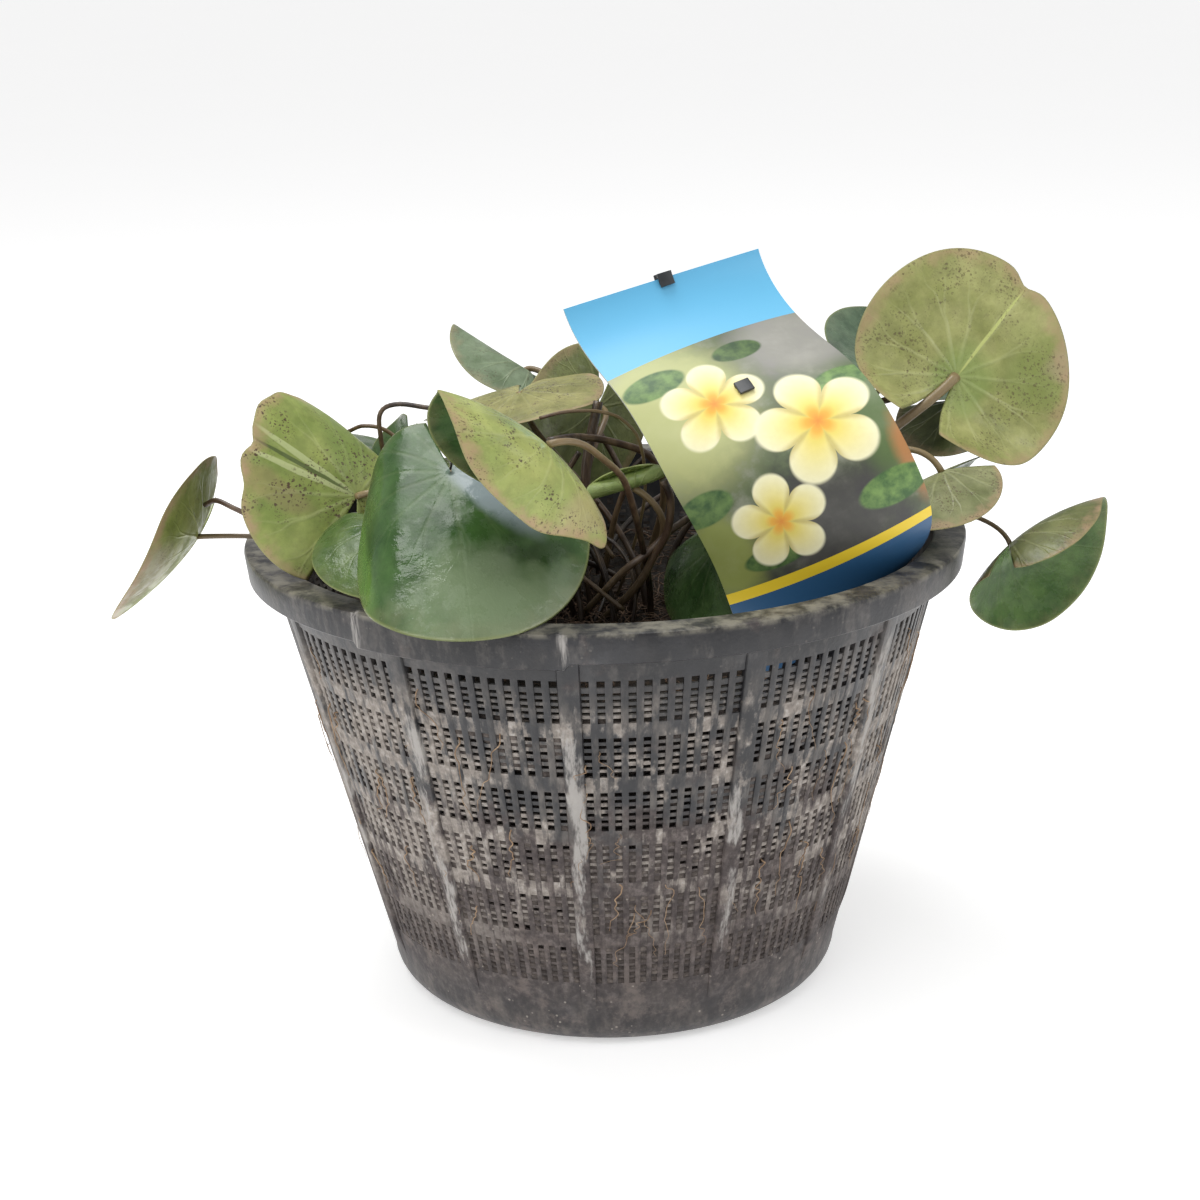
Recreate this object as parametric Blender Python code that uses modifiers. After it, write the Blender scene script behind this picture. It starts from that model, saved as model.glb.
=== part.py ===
"""Dwarf water lily growing in a round pond basket, with its plant label.

The basket stands on z = 0, its axis is z, and the front of the group looks along -Y.
Metres, +Z up. Each leaf is a blade with a stalk of its own that rises from the soil.
"""
import math
from dataclasses import dataclass

import bmesh
import bpy
import numpy as np

MM = 0.001
GAP = 0.3 * MM
MERGE = 0.00001

# Basket
TURN_STEPS = 48
RIM_RADIUS = 110 * MM
HEIGHT = 142 * MM
SKIRT_HEIGHT = 9 * MM
SKIRT_DRAFT = 1 * MM
WALL_TOP_RADIUS = 101.8 * MM
FOOT_RADIUS = 70.6 * MM
FOOT_CORNER = 10 * MM
WALL = 1.6 * MM
CORNER_POINTS = 4
RIB_COUNT = 12
FIRST_RIB_ANGLE = -36.4
RIB_WIDTH_TOP = 6.7 * MM
RIB_WIDTH_FOOT = 4.2 * MM
RIB_PROUD = 0.9 * MM
RIB_ROOT = 0.8 * MM

# Soil and rootstock; the soil's surface falls from the middle towards the wall
SOIL_STEPS = 24
SOIL_RINGS = ((0, 121), (30, 120.1), (50, 119.5), (66, 118), (80, 116))
SOIL_EDGE = 112.5 * MM
SOIL_LUMP = 1.2 * MM
SOIL_LEVEL_RADIUS = 35 * MM
CROWN_RADIUS = 6.5 * MM
CROWN_HEIGHT = 6 * MM

# Label: a card bent along its length, on a flat stake with two clips.
# Facing, lean and spin are in degrees at 0, 1/3, 2/3 and 1 of the card's length.
LABEL_WIDTH = 64 * MM
LABEL_LENGTH = 129 * MM
LABEL_THICKNESS = 0.5 * MM
LABEL_TOP = (0.0191, -0.0123, 0.2200)
LABEL_FACING = (18, -4, -4, 46)
LABEL_LEAN = (17, 58, 7, 0)
LABEL_SPIN = (12, 29, 26, 16)
LABEL_ARCH_RADIUS = (0.270, 0.113)
LABEL_COLUMNS = 8
LABEL_ROWS = 24
LABEL_ROW_SPREAD = 1.25
STAKE_WIDTH = 5 * MM
STAKE_THICKNESS = 1.0 * MM
STAKE_BELOW = 11 * MM
CLIP_WIDTH = 6 * MM
CLIP_HEIGHT = 5.5 * MM
CLIP_THICKNESS = 0.8 * MM
CLIP_BRIDGE = 1.2 * MM
CLIP_GAP = 0.5 * MM
SLOT_AT = 46 * MM

# Leaves
BLADE_THICKNESS = 0.6 * MM
BLADE_RINGS = 4
BLADE_SECTORS = 12
NOTCH_HALF_ANGLE = 14
LOBE_ROUNDING = 0.1
STALK_RADIUS = 1.2 * MM
STALK_POINTS = 9
SEAT_GAP = 1.0 * MM
FOOT_GAP = 0.8 * MM


@dataclass
class Leaf:
    """One leaf. Lengths are in metres, angles in degrees.

    seat is where the stalk meets the blade, and turn the blade's heading, pitch and roll.
    bends are (place, width, angle) folds across a line at the angle fold_line; place and
    width are shares of size, the blade's radius. cup is how far the edge rises or falls,
    and back how far the seat sits towards the notch, both as shares of size.
    The stalk starts at the foot (angle from -Y towards +X, radius), rises straight by
    rise, and ends at the seat coming from reach.
    """
    seat: tuple
    turn: tuple
    size: float
    fold_line: float
    bends: tuple
    cup: float
    back: float
    foot: tuple
    rise: float
    reach: tuple
    stalk_radius: float = STALK_RADIUS


LEAVES = {
    "far_left": Leaf(
        seat=(-0.123, -0.014, 0.1455), turn=(-115, -30, 56), size=0.0295, fold_line=26,
        bends=((0.66, 0.38, -15), (0.06, 0.75, 19)), cup=0.16, back=0.21,
        foot=(-24, 0.030), rise=0.022, reach=(-0.090, -0.021, 0.148)),
    "left": Leaf(
        seat=(-0.071, -0.045, 0.1645), turn=(64, 59, -132), size=0.035, fold_line=-61,
        bends=((0.25, 1.3, 55), (0.43, 0.82, 29)), cup=0.13, back=0.12,
        foot=(-53, 0.030), rise=0.029, reach=(-0.052, -0.061, 0.187)),
    "left_small": Leaf(
        seat=(-0.0605, -0.0625, 0.161), turn=(-52, -16, 17), size=0.025, fold_line=105,
        bends=((-0.64, 0.49, 26), (0.57, 0.54, -20)), cup=-0.19, back=0.12,
        foot=(-61, 0.029), rise=0.018, reach=(-0.055, -0.049, 0.136)),
    "left_dark": Leaf(
        seat=(-0.058, 0.0, 0.156), turn=(-58, -91, 101), size=0.027, fold_line=34,
        bends=((-0.7, 0.26, -62), (-0.17, 0.49, 35)), cup=-0.03, back=0.12,
        foot=(-108, 0.030), rise=0.008, reach=(-0.042, 0.006, 0.150)),
    "front": Leaf(
        seat=(-0.042, -0.072, 0.1775), turn=(-81, -36, 5), size=0.0385, fold_line=-10,
        bends=((-0.48, 0.51, -57), (0.34, 1.29, -29)), cup=-0.05, back=0.42,
        foot=(-18, 0.030), rise=0.017, reach=(-0.033, -0.054, 0.160)),
    "front_curled": Leaf(
        seat=(-0.015, -0.098, 0.1905), turn=(-113, 28, 143), size=0.0315, fold_line=33,
        bends=((0.13, 0.4, 49), (-0.39, 0.66, 58)), cup=0.2, back=0.12,
        foot=(27, 0.029), rise=0.023, reach=(0.022, -0.105, 0.207)),
    "middle": Leaf(
        seat=(-0.025, 0.008, 0.1825), turn=(-101, -10, -171), size=0.0265, fold_line=-110,
        bends=((-0.25, 1.1, 22), (0.7, 1.16, -30)), cup=0.09, back=0.12,
        foot=(30, 0.024), rise=0.072, reach=(-0.033, -0.009, 0.209)),
    "young": Leaf(
        seat=(0.0085, -0.038, 0.1635), turn=(184, -14, 12), size=0.013, fold_line=0,
        bends=((-0.3, 0.55, 160), (0.3, 0.55, 160)), cup=0, back=0.12,
        foot=(14, 0.028), rise=0.019, reach=(0.029, -0.039, 0.150), stalk_radius=0.0010),
    "inner": Leaf(
        seat=(0.033, -0.041, 0.1465), turn=(154, -36, -43), size=0.025, fold_line=-20,
        bends=((-0.26, 1.22, -10), (-0.37, 0.48, -37)), cup=-0.2, back=0.12,
        foot=(55, 0.029), rise=0.013, reach=(0.041, -0.033, 0.137)),
    "behind_label": Leaf(
        seat=(-0.001, 0.040, 0.1705), turn=(-144, -72, 76), size=0.0255, fold_line=32,
        bends=((0.38, 0.79, 26), (0.28, 0.66, 16)), cup=-0.05, back=0.12,
        foot=(-145, 0.016), rise=0.048, reach=(0.007, 0.028, 0.170)),
    "back_left": Leaf(
        seat=(-0.0245, 0.053, 0.180), turn=(125, 2, -136), size=0.026, fold_line=-37,
        bends=((-0.25, 0.55, 56), (0.65, 0.64, 1)), cup=-0.01, back=0.12,
        foot=(152, 0.027), rise=0.043, reach=(-0.004, 0.057, 0.204)),
    "back_right": Leaf(
        seat=(0.096, 0.048, 0.1815), turn=(-113, -16, -24), size=0.026, fold_line=-44,
        bends=((-0.64, 1.58, 0), (0.33, 0.57, 0)), cup=0.2, back=0.12,
        foot=(133, 0.030), rise=0.020, reach=(0.082, 0.051, 0.151)),
    "right": Leaf(
        seat=(0.108, 0.006, 0.1845), turn=(31, 40, -119), size=0.035, fold_line=77,
        bends=((0.29, 0.58, -38), (0.43, 1.09, -15)), cup=0.01, back=0.12,
        foot=(74, 0.030), rise=0.019, reach=(0.129, -0.044, 0.197), stalk_radius=0.0017),
    "right_dark": Leaf(
        seat=(0.116, 0.038, 0.1705), turn=(-33, 3, 203), size=0.027, fold_line=26,
        bends=((0.56, 0.76, 16), (0.17, 0.33, 7)), cup=-0.04, back=0.12,
        foot=(138, 0.030), rise=0.034, reach=(0.103, 0.035, 0.183), stalk_radius=0.0011),
    "right_low": Leaf(
        seat=(0.1005, -0.020, 0.161), turn=(197, -15, 192), size=0.026, fold_line=-15,
        bends=((0.07, 1, 35), (-0.06, 0.41, 31)), cup=0.05, back=0.32,
        foot=(86, 0.030), rise=0.014, reach=(0.088, -0.016, 0.186)),
    "far_right": Leaf(
        seat=(0.123, -0.012, 0.136), turn=(60, -2, 130), size=0.028, fold_line=-140,
        bends=((0.15, 1.4, 53), (-0.14, 0.88, 34)), cup=0.2, back=0.32,
        foot=(105, 0.030), rise=0.023, reach=(0.116, 0.007, 0.154)),
    "rear_left": Leaf(
        seat=(-0.0785, 0.0635, 0.150), turn=(125, 9, 13), size=0.031, fold_line=-30,
        bends=((-0.17, 0.64, -9), (-0.46, 0.8, 28)), cup=-0.03, back=0.15,
        foot=(-116, 0.029), rise=0.030, reach=(-0.081, 0.058, 0.123)),
    "rear_mid": Leaf(
        seat=(-0.0295, 0.091, 0.162), turn=(112, -11, -3), size=0.0305, fold_line=-57,
        bends=((-0.08, 1.25, 14), (0.48, 0.88, -15)), cup=-0.03, back=0.15,
        foot=(-161, 0.030), rise=0.019, reach=(-0.021, 0.081, 0.136)),
    "rear_right": Leaf(
        seat=(0.047, 0.0865, 0.1565), turn=(37, 2, 25), size=0.031, fold_line=-13,
        bends=((0.12, 0.68, 27), (0.44, 0.51, -7)), cup=-0.01, back=0.15,
        foot=(180, 0.030), rise=0.023, reach=(0.038, 0.092, 0.128)),
}


def clear_scene():
    for obj in list(bpy.data.objects):
        bpy.data.objects.remove(obj, do_unlink=True)


def new_collection(name):
    group = bpy.data.collections.new(name)
    bpy.context.scene.collection.children.link(group)
    return group


def new_material(name, colour, roughness):
    material = bpy.data.materials.new(name)
    material.use_nodes = True
    shader = material.node_tree.nodes["Principled BSDF"]
    shader.inputs["Base Color"].default_value = (*colour, 1.0)
    shader.inputs["Roughness"].default_value = roughness
    shader.inputs["Metallic"].default_value = 0.0
    return material


def add_object(name, data, group, material=None):
    obj = bpy.data.objects.new(name, data)
    group.objects.link(obj)
    if material is not None:
        data.materials.append(material)
    return obj


def add_cutter(name, data, cutters):
    obj = add_object(name, data, cutters)
    obj.hide_render = True
    obj.display_type = "WIRE"
    return obj


def combine(obj, cutter, operation):
    boolean = obj.modifiers.new(operation.lower(), "BOOLEAN")
    boolean.operation = operation
    boolean.solver = "EXACT"
    boolean.object = cutter


def sheet(name, place, columns, rows, thickness, group, material=None):
    """A flat grid carried by place(s, t), s from -1 to 1 and t from 0 to 1, given a thickness."""
    grid = bmesh.new()
    bmesh.ops.create_grid(grid, x_segments=columns, y_segments=rows, size=1)
    flat = np.array([vert.co for vert in grid.verts])
    for vert, point in zip(grid.verts, place(flat[:, 0], (flat[:, 1] + 1) / 2)):
        vert.co = point
    bmesh.ops.remove_doubles(grid, verts=grid.verts, dist=MERGE)
    mesh = bpy.data.meshes.new(name)
    grid.to_mesh(mesh)
    grid.free()
    mesh.shade_smooth()
    obj = add_object(name, mesh, group, material)
    shell = obj.modifiers.new("thickness", "SOLIDIFY")
    shell.thickness = thickness
    shell.offset = 0
    return obj


def turned(name, profile, steps, group, material):
    """A profile of (radius, height) points, from the axis and back to it, turned round z."""
    mesh = bpy.data.meshes.new(name)
    points = [(radius, 0, height) for radius, height in profile]
    mesh.from_pydata(points, [(i, i + 1) for i in range(len(points) - 1)], [])
    obj = add_object(name, mesh, group, material)
    screw = obj.modifiers.new("turn", "SCREW")
    screw.steps = steps
    screw.render_steps = steps
    screw.use_merge_vertices = True
    screw.merge_threshold = MERGE
    return obj


def bake(obj):
    """Replaces an object's mesh by what its modifiers make."""
    evaluated = obj.evaluated_get(bpy.context.evaluated_depsgraph_get())
    mesh = bpy.data.meshes.new_from_object(evaluated)
    obj.modifiers.clear()
    obj.data = mesh


def box_mesh(name, place_box, count=1):
    """Boxes whose corners place_box(i, corner) gives; corner has 0 or 1 on each axis."""
    shape = bmesh.new()
    for i in range(count):
        for vert in bmesh.ops.create_cube(shape, size=1)["verts"]:
            vert.co = place_box(i, [round(value + 0.5) for value in vert.co])
    shape.normal_update()
    bmesh.ops.recalc_face_normals(shape, faces=shape.faces)
    mesh = bpy.data.meshes.new(name)
    shape.to_mesh(mesh)
    shape.free()
    return mesh


def from_front(angle, radius, height):
    """A point at an angle in degrees from -Y towards +X."""
    angle = math.radians(angle)
    return (radius * math.sin(angle), -radius * math.cos(angle), height)


def wall_radius(height):
    """Outer radius of the basket's tapered wall."""
    wall_top = HEIGHT - SKIRT_HEIGHT
    taper = (WALL_TOP_RADIUS - FOOT_RADIUS) / (wall_top - FOOT_CORNER)
    return WALL_TOP_RADIUS - (wall_top - min(height, wall_top)) * taper


def corner_arc(radius):
    """The foot's rounded corner from the wall down to the floor, at a radius of the arc."""
    centre = FOOT_RADIUS - FOOT_CORNER
    angles = [-math.pi / 2 * i / (CORNER_POINTS - 1) for i in range(CORNER_POINTS)]
    return [(centre + radius * math.cos(a), FOOT_CORNER + radius * math.sin(a)) for a in angles]


def make_basket(group, cutters, material):
    wall_top = HEIGHT - SKIRT_HEIGHT
    skirt_radius = RIM_RADIUS - SKIRT_DRAFT
    flange_under = HEIGHT - WALL
    inside = [(0, WALL)] + corner_arc(FOOT_CORNER - WALL)[::-1]
    inside += [(WALL_TOP_RADIUS - WALL, wall_top), (WALL_TOP_RADIUS - WALL, HEIGHT)]
    rim = [(RIM_RADIUS, HEIGHT), (skirt_radius, wall_top), (skirt_radius - WALL, wall_top),
           (RIM_RADIUS - WALL, flange_under), (WALL_TOP_RADIUS, flange_under)]
    outside = [(WALL_TOP_RADIUS, wall_top)] + corner_arc(FOOT_CORNER) + [(0, 0)]
    basket = turned("basket", inside + rim + outside, TURN_STEPS, group, material)

    def rib_corner(i, corner):
        across, depth, up = corner
        height = FOOT_CORNER + up * (flange_under + WALL / 2 - FOOT_CORNER)
        radius = wall_radius(height) + (RIB_PROUD if depth else -RIB_ROOT)
        width = RIB_WIDTH_FOOT + up * (RIB_WIDTH_TOP - RIB_WIDTH_FOOT)
        side = math.degrees((across - 0.5) * width / radius)
        return from_front(FIRST_RIB_ANGLE + 360 / RIB_COUNT * i + side, radius, height)

    ribs = box_mesh("ribs", rib_corner, RIB_COUNT)
    combine(basket, add_cutter("ribs", ribs, cutters), "UNION")
    return basket


def soil_height(radius):
    radii = [r * MM for r, _ in SOIL_RINGS]
    heights = [h * MM for _, h in SOIL_RINGS]
    edge = wall_radius(SOIL_EDGE) - WALL - GAP
    return float(np.interp(radius, radii + [edge], heights + [SOIL_EDGE]))


def make_soil(group, material):
    surface = [(radius * MM, height * MM) for radius, height in SOIL_RINGS]
    edge = (wall_radius(SOIL_EDGE) - WALL - GAP, SOIL_EDGE)
    foot = corner_arc(FOOT_CORNER - WALL - GAP)
    profile = surface + [edge] + foot + [(0, WALL + GAP)]
    soil = turned("soil", profile, SOIL_STEPS, group, material)
    bake(soil)
    for vert in soil.data.vertices:
        radius = math.hypot(vert.co.x, vert.co.y)
        if vert.co.z > SOIL_EDGE + MM and radius > SOIL_LEVEL_RADIUS:
            wave = math.sin(95 * vert.co.x + 1.3) * math.sin(110 * vert.co.y + 0.4)
            vert.co.z += SOIL_LUMP * wave
    return soil


def make_crown(group, material):
    base = SOIL_RINGS[0][1] * MM + GAP
    profile = [(0, base + CROWN_HEIGHT), (CROWN_RADIUS * 0.55, base + CROWN_HEIGHT * 0.85),
               (CROWN_RADIUS * 0.9, base + CROWN_HEIGHT * 0.5), (CROWN_RADIUS, base), (0, base)]
    return turned("crown", profile, 10, group, material)


def cubic(values, t):
    """The cubic through four values at t = 0, 1/3, 2/3 and 1."""
    t = np.clip(t, 0, 1)
    knots = [0, 1 / 3, 2 / 3, 1]
    total = np.zeros_like(t)
    for value, knot in zip(values, knots):
        others = [other for other in knots if other != knot]
        total += value * np.prod([(t - other) / (knot - other) for other in others], axis=0)
    return total


def card_directions(along):
    """Right, down and normal directions of the card at distances along it from its top edge."""
    facing, lean, spin = (np.radians(cubic(values, along / LABEL_LENGTH))
                          for values in (LABEL_FACING, LABEL_LEAN, LABEL_SPIN))
    level = np.stack([np.cos(facing), np.sin(facing), 0 * facing], 1)
    normal = np.stack([np.sin(facing) * np.cos(lean), -np.cos(facing) * np.cos(lean),
                       np.sin(lean)], 1)
    up = np.cross(normal, level)
    cos_spin, sin_spin = np.cos(spin)[:, None], np.sin(spin)[:, None]
    return cos_spin * level + sin_spin * up, sin_spin * level - cos_spin * up, normal


def card_point(across, along, out=0.0):
    """Points of the card, arched across its width; out is a distance in front of it."""
    across, along = np.broadcast_arrays(np.asarray(across, float), np.asarray(along, float))
    line = np.linspace(-CLIP_HEIGHT, LABEL_LENGTH + STAKE_BELOW, 400)
    down = card_directions(line)[1]
    steps = (down[1:] + down[:-1]) / 2 * np.diff(line)[:, None]
    centre = np.vstack([np.zeros(3), np.cumsum(steps, axis=0)])
    centre -= [np.interp(0, line, centre[:, axis]) for axis in range(3)]
    centre = np.stack([np.interp(along, line, centre[:, axis]) for axis in range(3)], 1)
    right, _, normal = card_directions(along)
    flat, tight = (1 / radius for radius in LABEL_ARCH_RADIUS)
    curve = flat + (tight - flat) * np.clip(along / LABEL_LENGTH, 0, 1)
    side = np.sin(across * curve) / curve
    drop = (1 - np.cos(across * curve)) / curve
    return LABEL_TOP + centre + side[:, None] * right + (out - drop)[:, None] * normal


def card_row(t):
    """Distance from the top edge of a row of the card; rows lie closer where it bends most."""
    return LABEL_LENGTH * t ** LABEL_ROW_SPREAD


def strip(name, first, last, out, width, thickness, group, material=None):
    """A flat strip in front of the card, with the card's own rows between its ends."""
    rows = card_row(np.linspace(0, 1, LABEL_ROWS + 1))
    rows = [first] + [row for row in rows if first + MM < row < last - MM] + [last]

    def place(s, t):
        along = np.interp(t, np.linspace(0, 1, len(rows)), rows)
        return card_point(s * width / 2, along, out)
    return sheet(name, place, 1, len(rows) - 1, thickness, group, material)


def card_block(name, at, height, back, front, width, cutters):
    """A block through the card at a distance from its top edge, from back to front of it."""
    def corner_place(_, corner):
        across, out, along = corner
        distance = back + out * (front - back)
        return card_point([(across - 0.5) * width], [at + along * height], distance)[0]
    return add_cutter(name, box_mesh(name, corner_place), cutters)


def make_label(group, cutters, card_material, stake_material):
    def place(s, t):
        return card_point(s * LABEL_WIDTH / 2, card_row(t))
    card = sheet("label", place, LABEL_COLUMNS, LABEL_ROWS, LABEL_THICKNESS, group, card_material)
    slot_height = CLIP_BRIDGE + 2 * GAP
    slot = card_block("slot", SLOT_AT - GAP, slot_height, -2 * MM, 2 * MM,
                      STAKE_WIDTH + 4 * GAP, cutters)
    combine(card, slot, "DIFFERENCE")

    half_card = LABEL_THICKNESS / 2
    behind = -(half_card + CLIP_GAP + STAKE_THICKNESS / 2)
    before = half_card + CLIP_GAP + CLIP_THICKNESS / 2
    top = -(GAP + CLIP_BRIDGE)
    stake = strip("label_stake", top, LABEL_LENGTH + STAKE_BELOW, behind, STAKE_WIDTH,
                  STAKE_THICKNESS, group, stake_material)
    for i, start in enumerate((top, SLOT_AT)):
        front = strip(f"clip_{i}", start, start + CLIP_HEIGHT, before, CLIP_WIDTH,
                      CLIP_THICKNESS, cutters)
        front.hide_render = True
        front.display_type = "WIRE"
        bridge = card_block(f"bridge_{i}", start, CLIP_BRIDGE, behind, before,
                            STAKE_WIDTH - 2 * GAP, cutters)
        combine(stake, front, "UNION")
        combine(stake, bridge, "UNION")


def smooth_step(x):
    x = np.clip(x, 0, 1)
    return x * x * (3 - 2 * x)


def rotation(heading, pitch, roll):
    """Roll about x, then pitch about y, then heading about z, in degrees."""
    (ch, cp, cr), (sh, sp, sr) = (f(np.radians([heading, pitch, roll])) for f in (np.cos, np.sin))
    about_z = np.array([[ch, -sh, 0], [sh, ch, 0], [0, 0, 1]])
    about_y = np.array([[cp, 0, -sp], [0, 1, 0], [sp, 0, cp]])
    about_x = np.array([[1, 0, 0], [0, cr, -sr], [0, sr, cr]])
    return about_z @ about_y @ about_x


def blade_points(leaf, s, t):
    """Points of a round blade with a notch; s runs round it, t from its seat to its edge.

    The flat outline is a circle whose seat lies nearer the notch. The blade is cupped, then
    each bend turns the surface's profile smoothly across the fold line without stretching it.
    """
    phi = s * (math.pi - math.radians(NOTCH_HALF_ANGLE))
    offset = leaf.back * leaf.size
    edge = offset * np.cos(phi) + np.sqrt(leaf.size ** 2 - (offset * np.sin(phi)) ** 2)
    radius = t * edge * (1 - LOBE_ROUNDING * np.abs(s) ** 8)
    lift = leaf.cup * (radius / leaf.size) ** 2 * leaf.size
    line = math.radians(leaf.fold_line)
    along = radius * np.cos(phi - line)
    across = radius * np.sin(phi - line)
    walk = np.linspace(-1.6, 1.6, 641) * leaf.size
    slope = sum(math.radians(angle) * smooth_step((walk / leaf.size - place) / width + 0.5)
                for place, width, angle in leaf.bends)
    slope = slope - np.interp(0, walk, slope)
    step = walk[1] - walk[0]
    profile = []
    for rate in (np.cos(slope), np.sin(slope)):
        path = np.append(0, np.cumsum((rate[1:] + rate[:-1]) / 2 * step))
        profile.append(path - np.interp(0, walk, path))
    tilt = np.interp(across, walk, slope)
    out = np.interp(across, walk, profile[0]) - lift * np.sin(tilt)
    rise = np.interp(across, walk, profile[1]) + lift * np.cos(tilt)
    x = along * math.cos(line) - out * math.sin(line)
    y = along * math.sin(line) + out * math.cos(line)
    return np.stack([x, y, rise], 1) @ rotation(*leaf.turn).T + leaf.seat


def make_blade(name, leaf, group, material):
    def place(s, t):
        return blade_points(leaf, s, t)
    return sheet("leaf_" + name, place, BLADE_SECTORS, BLADE_RINGS, BLADE_THICKNESS, group, material)


def make_stalk(name, leaf, group, material):
    """A round stalk along one Bezier curve, from just over the soil to under the blade."""
    angle, radius = leaf.foot
    foot = np.array(from_front(angle, radius, soil_height(radius) + FOOT_GAP))
    end = np.array(leaf.seat) - rotation(*leaf.turn)[:, 2] * SEAT_GAP
    t = np.linspace(0, 1, STALK_POINTS)[:, None]
    path = ((1 - t) ** 3 * foot + 3 * t * (1 - t) ** 2 * (foot + [0, 0, leaf.rise])
            + 3 * t ** 2 * (1 - t) * np.array(leaf.reach) + t ** 3 * end)
    curve = bpy.data.curves.new("stalk_" + name, "CURVE")
    curve.dimensions = "3D"
    curve.bevel_depth = leaf.stalk_radius
    curve.bevel_resolution = 1
    curve.use_fill_caps = True
    spline = curve.splines.new("POLY")
    spline.points.add(STALK_POINTS - 1)
    for point, place in zip(spline.points, path):
        point.co = (*place, 1)
    return add_object("stalk_" + name, curve, group, material)


def main():
    clear_scene()
    plant = new_collection("dwarf_water_lily")
    cutters = new_collection("cutters")
    make_basket(plant, cutters, new_material("basket_plastic", (0.05, 0.05, 0.055), 0.6))
    make_soil(plant, new_material("soil", (0.05, 0.04, 0.03), 0.9))
    make_crown(plant, new_material("crown", (0.16, 0.11, 0.07), 0.8))
    make_label(plant, cutters, new_material("label_card", (0.62, 0.66, 0.35), 0.3),
               new_material("stake_plastic", (0.03, 0.035, 0.04), 0.5))
    leaf_green = new_material("leaf", (0.17, 0.24, 0.08), 0.35)
    young_green = new_material("leaf_young", (0.25, 0.36, 0.09), 0.4)
    stalk_brown = new_material("stalk", (0.33, 0.23, 0.13), 0.5)
    for name, leaf in LEAVES.items():
        make_blade(name, leaf, plant, young_green if name == "young" else leaf_green)
        make_stalk(name, leaf, plant, stalk_brown)


main()
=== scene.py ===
# %% [markdown]
# # A dwarf water lily in its pond basket
#
# The plant stands in a round mesh basket of dark plastic, packed with clay soil. Nineteen
# leaves on long stalks lean over the rim, and a printed card on a flat stake stands among
# them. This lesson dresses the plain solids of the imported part, one piece at a time: every
# shape is a surface worked out with numpy, and every finish is a small node tree.

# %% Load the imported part
import math

import bmesh
import bpy
import numpy as np
from mathutils import Matrix, Vector


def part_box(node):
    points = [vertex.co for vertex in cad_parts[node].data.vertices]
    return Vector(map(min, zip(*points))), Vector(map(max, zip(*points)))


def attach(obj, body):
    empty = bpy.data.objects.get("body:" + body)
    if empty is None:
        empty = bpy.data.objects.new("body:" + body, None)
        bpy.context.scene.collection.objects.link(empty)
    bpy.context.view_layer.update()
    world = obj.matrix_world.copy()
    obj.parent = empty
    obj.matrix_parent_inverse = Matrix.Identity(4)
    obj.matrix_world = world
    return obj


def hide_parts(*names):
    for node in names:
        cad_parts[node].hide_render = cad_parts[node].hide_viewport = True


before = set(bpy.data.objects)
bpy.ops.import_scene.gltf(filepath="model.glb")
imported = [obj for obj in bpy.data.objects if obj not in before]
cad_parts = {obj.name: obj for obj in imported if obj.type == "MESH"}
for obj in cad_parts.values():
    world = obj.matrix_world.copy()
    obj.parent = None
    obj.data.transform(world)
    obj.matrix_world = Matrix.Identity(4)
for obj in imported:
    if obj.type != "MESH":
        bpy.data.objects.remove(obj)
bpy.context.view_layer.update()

MM = 0.001
print("nodes in the frame:", len(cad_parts))

# %% [markdown]
# ## Patches and pieces
#
# A surface here is a grid of points: rows run one way over it and columns the other. One
# function turns a grid into faces, and a second joins any number of grids in one mesh with
# their UVs and named values, so that no loop ever visits a single vertex. Faces look the
# way that "direction of the rows cross direction of the columns" points.

# %% Turn grids of points into meshes
def patch(points, wrap_rows=False, wrap_columns=False, uv=None, flip=False, keep=None, **values):
    """Faces over a grid of points (rows, columns, 3); a wrapped side joins its last line to its first.

    uv has one pair a point, and a further line of them on a wrapped side. keep picks faces.
    """
    rows, columns = points.shape[:2]
    index = np.arange(rows * columns).reshape(rows, columns)
    if wrap_rows:
        index = np.vstack([index, index[:1]])
    if wrap_columns:
        index = np.hstack([index, index[:, :1]])
    corner = np.stack([index[:-1, :-1], index[1:, :-1], index[1:, 1:], index[:-1, 1:]], 2)
    chosen = np.ones(corner.shape[:2], bool) if keep is None else keep
    faces = corner[chosen]
    if uv is None:
        place = np.zeros((len(faces), 4, 2))
    else:
        place = np.stack([uv[:-1, :-1], uv[1:, :-1], uv[1:, 1:], uv[:-1, 1:]], 2)[chosen]
    if flip:
        faces, place = faces[:, ::-1], place[:, ::-1]
    flat = {name: np.broadcast_to(value, (rows, columns)).ravel() for name, value in values.items()}
    return {"points": points.reshape(-1, 3), "faces": faces, "uv": place, "values": flat}


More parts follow.
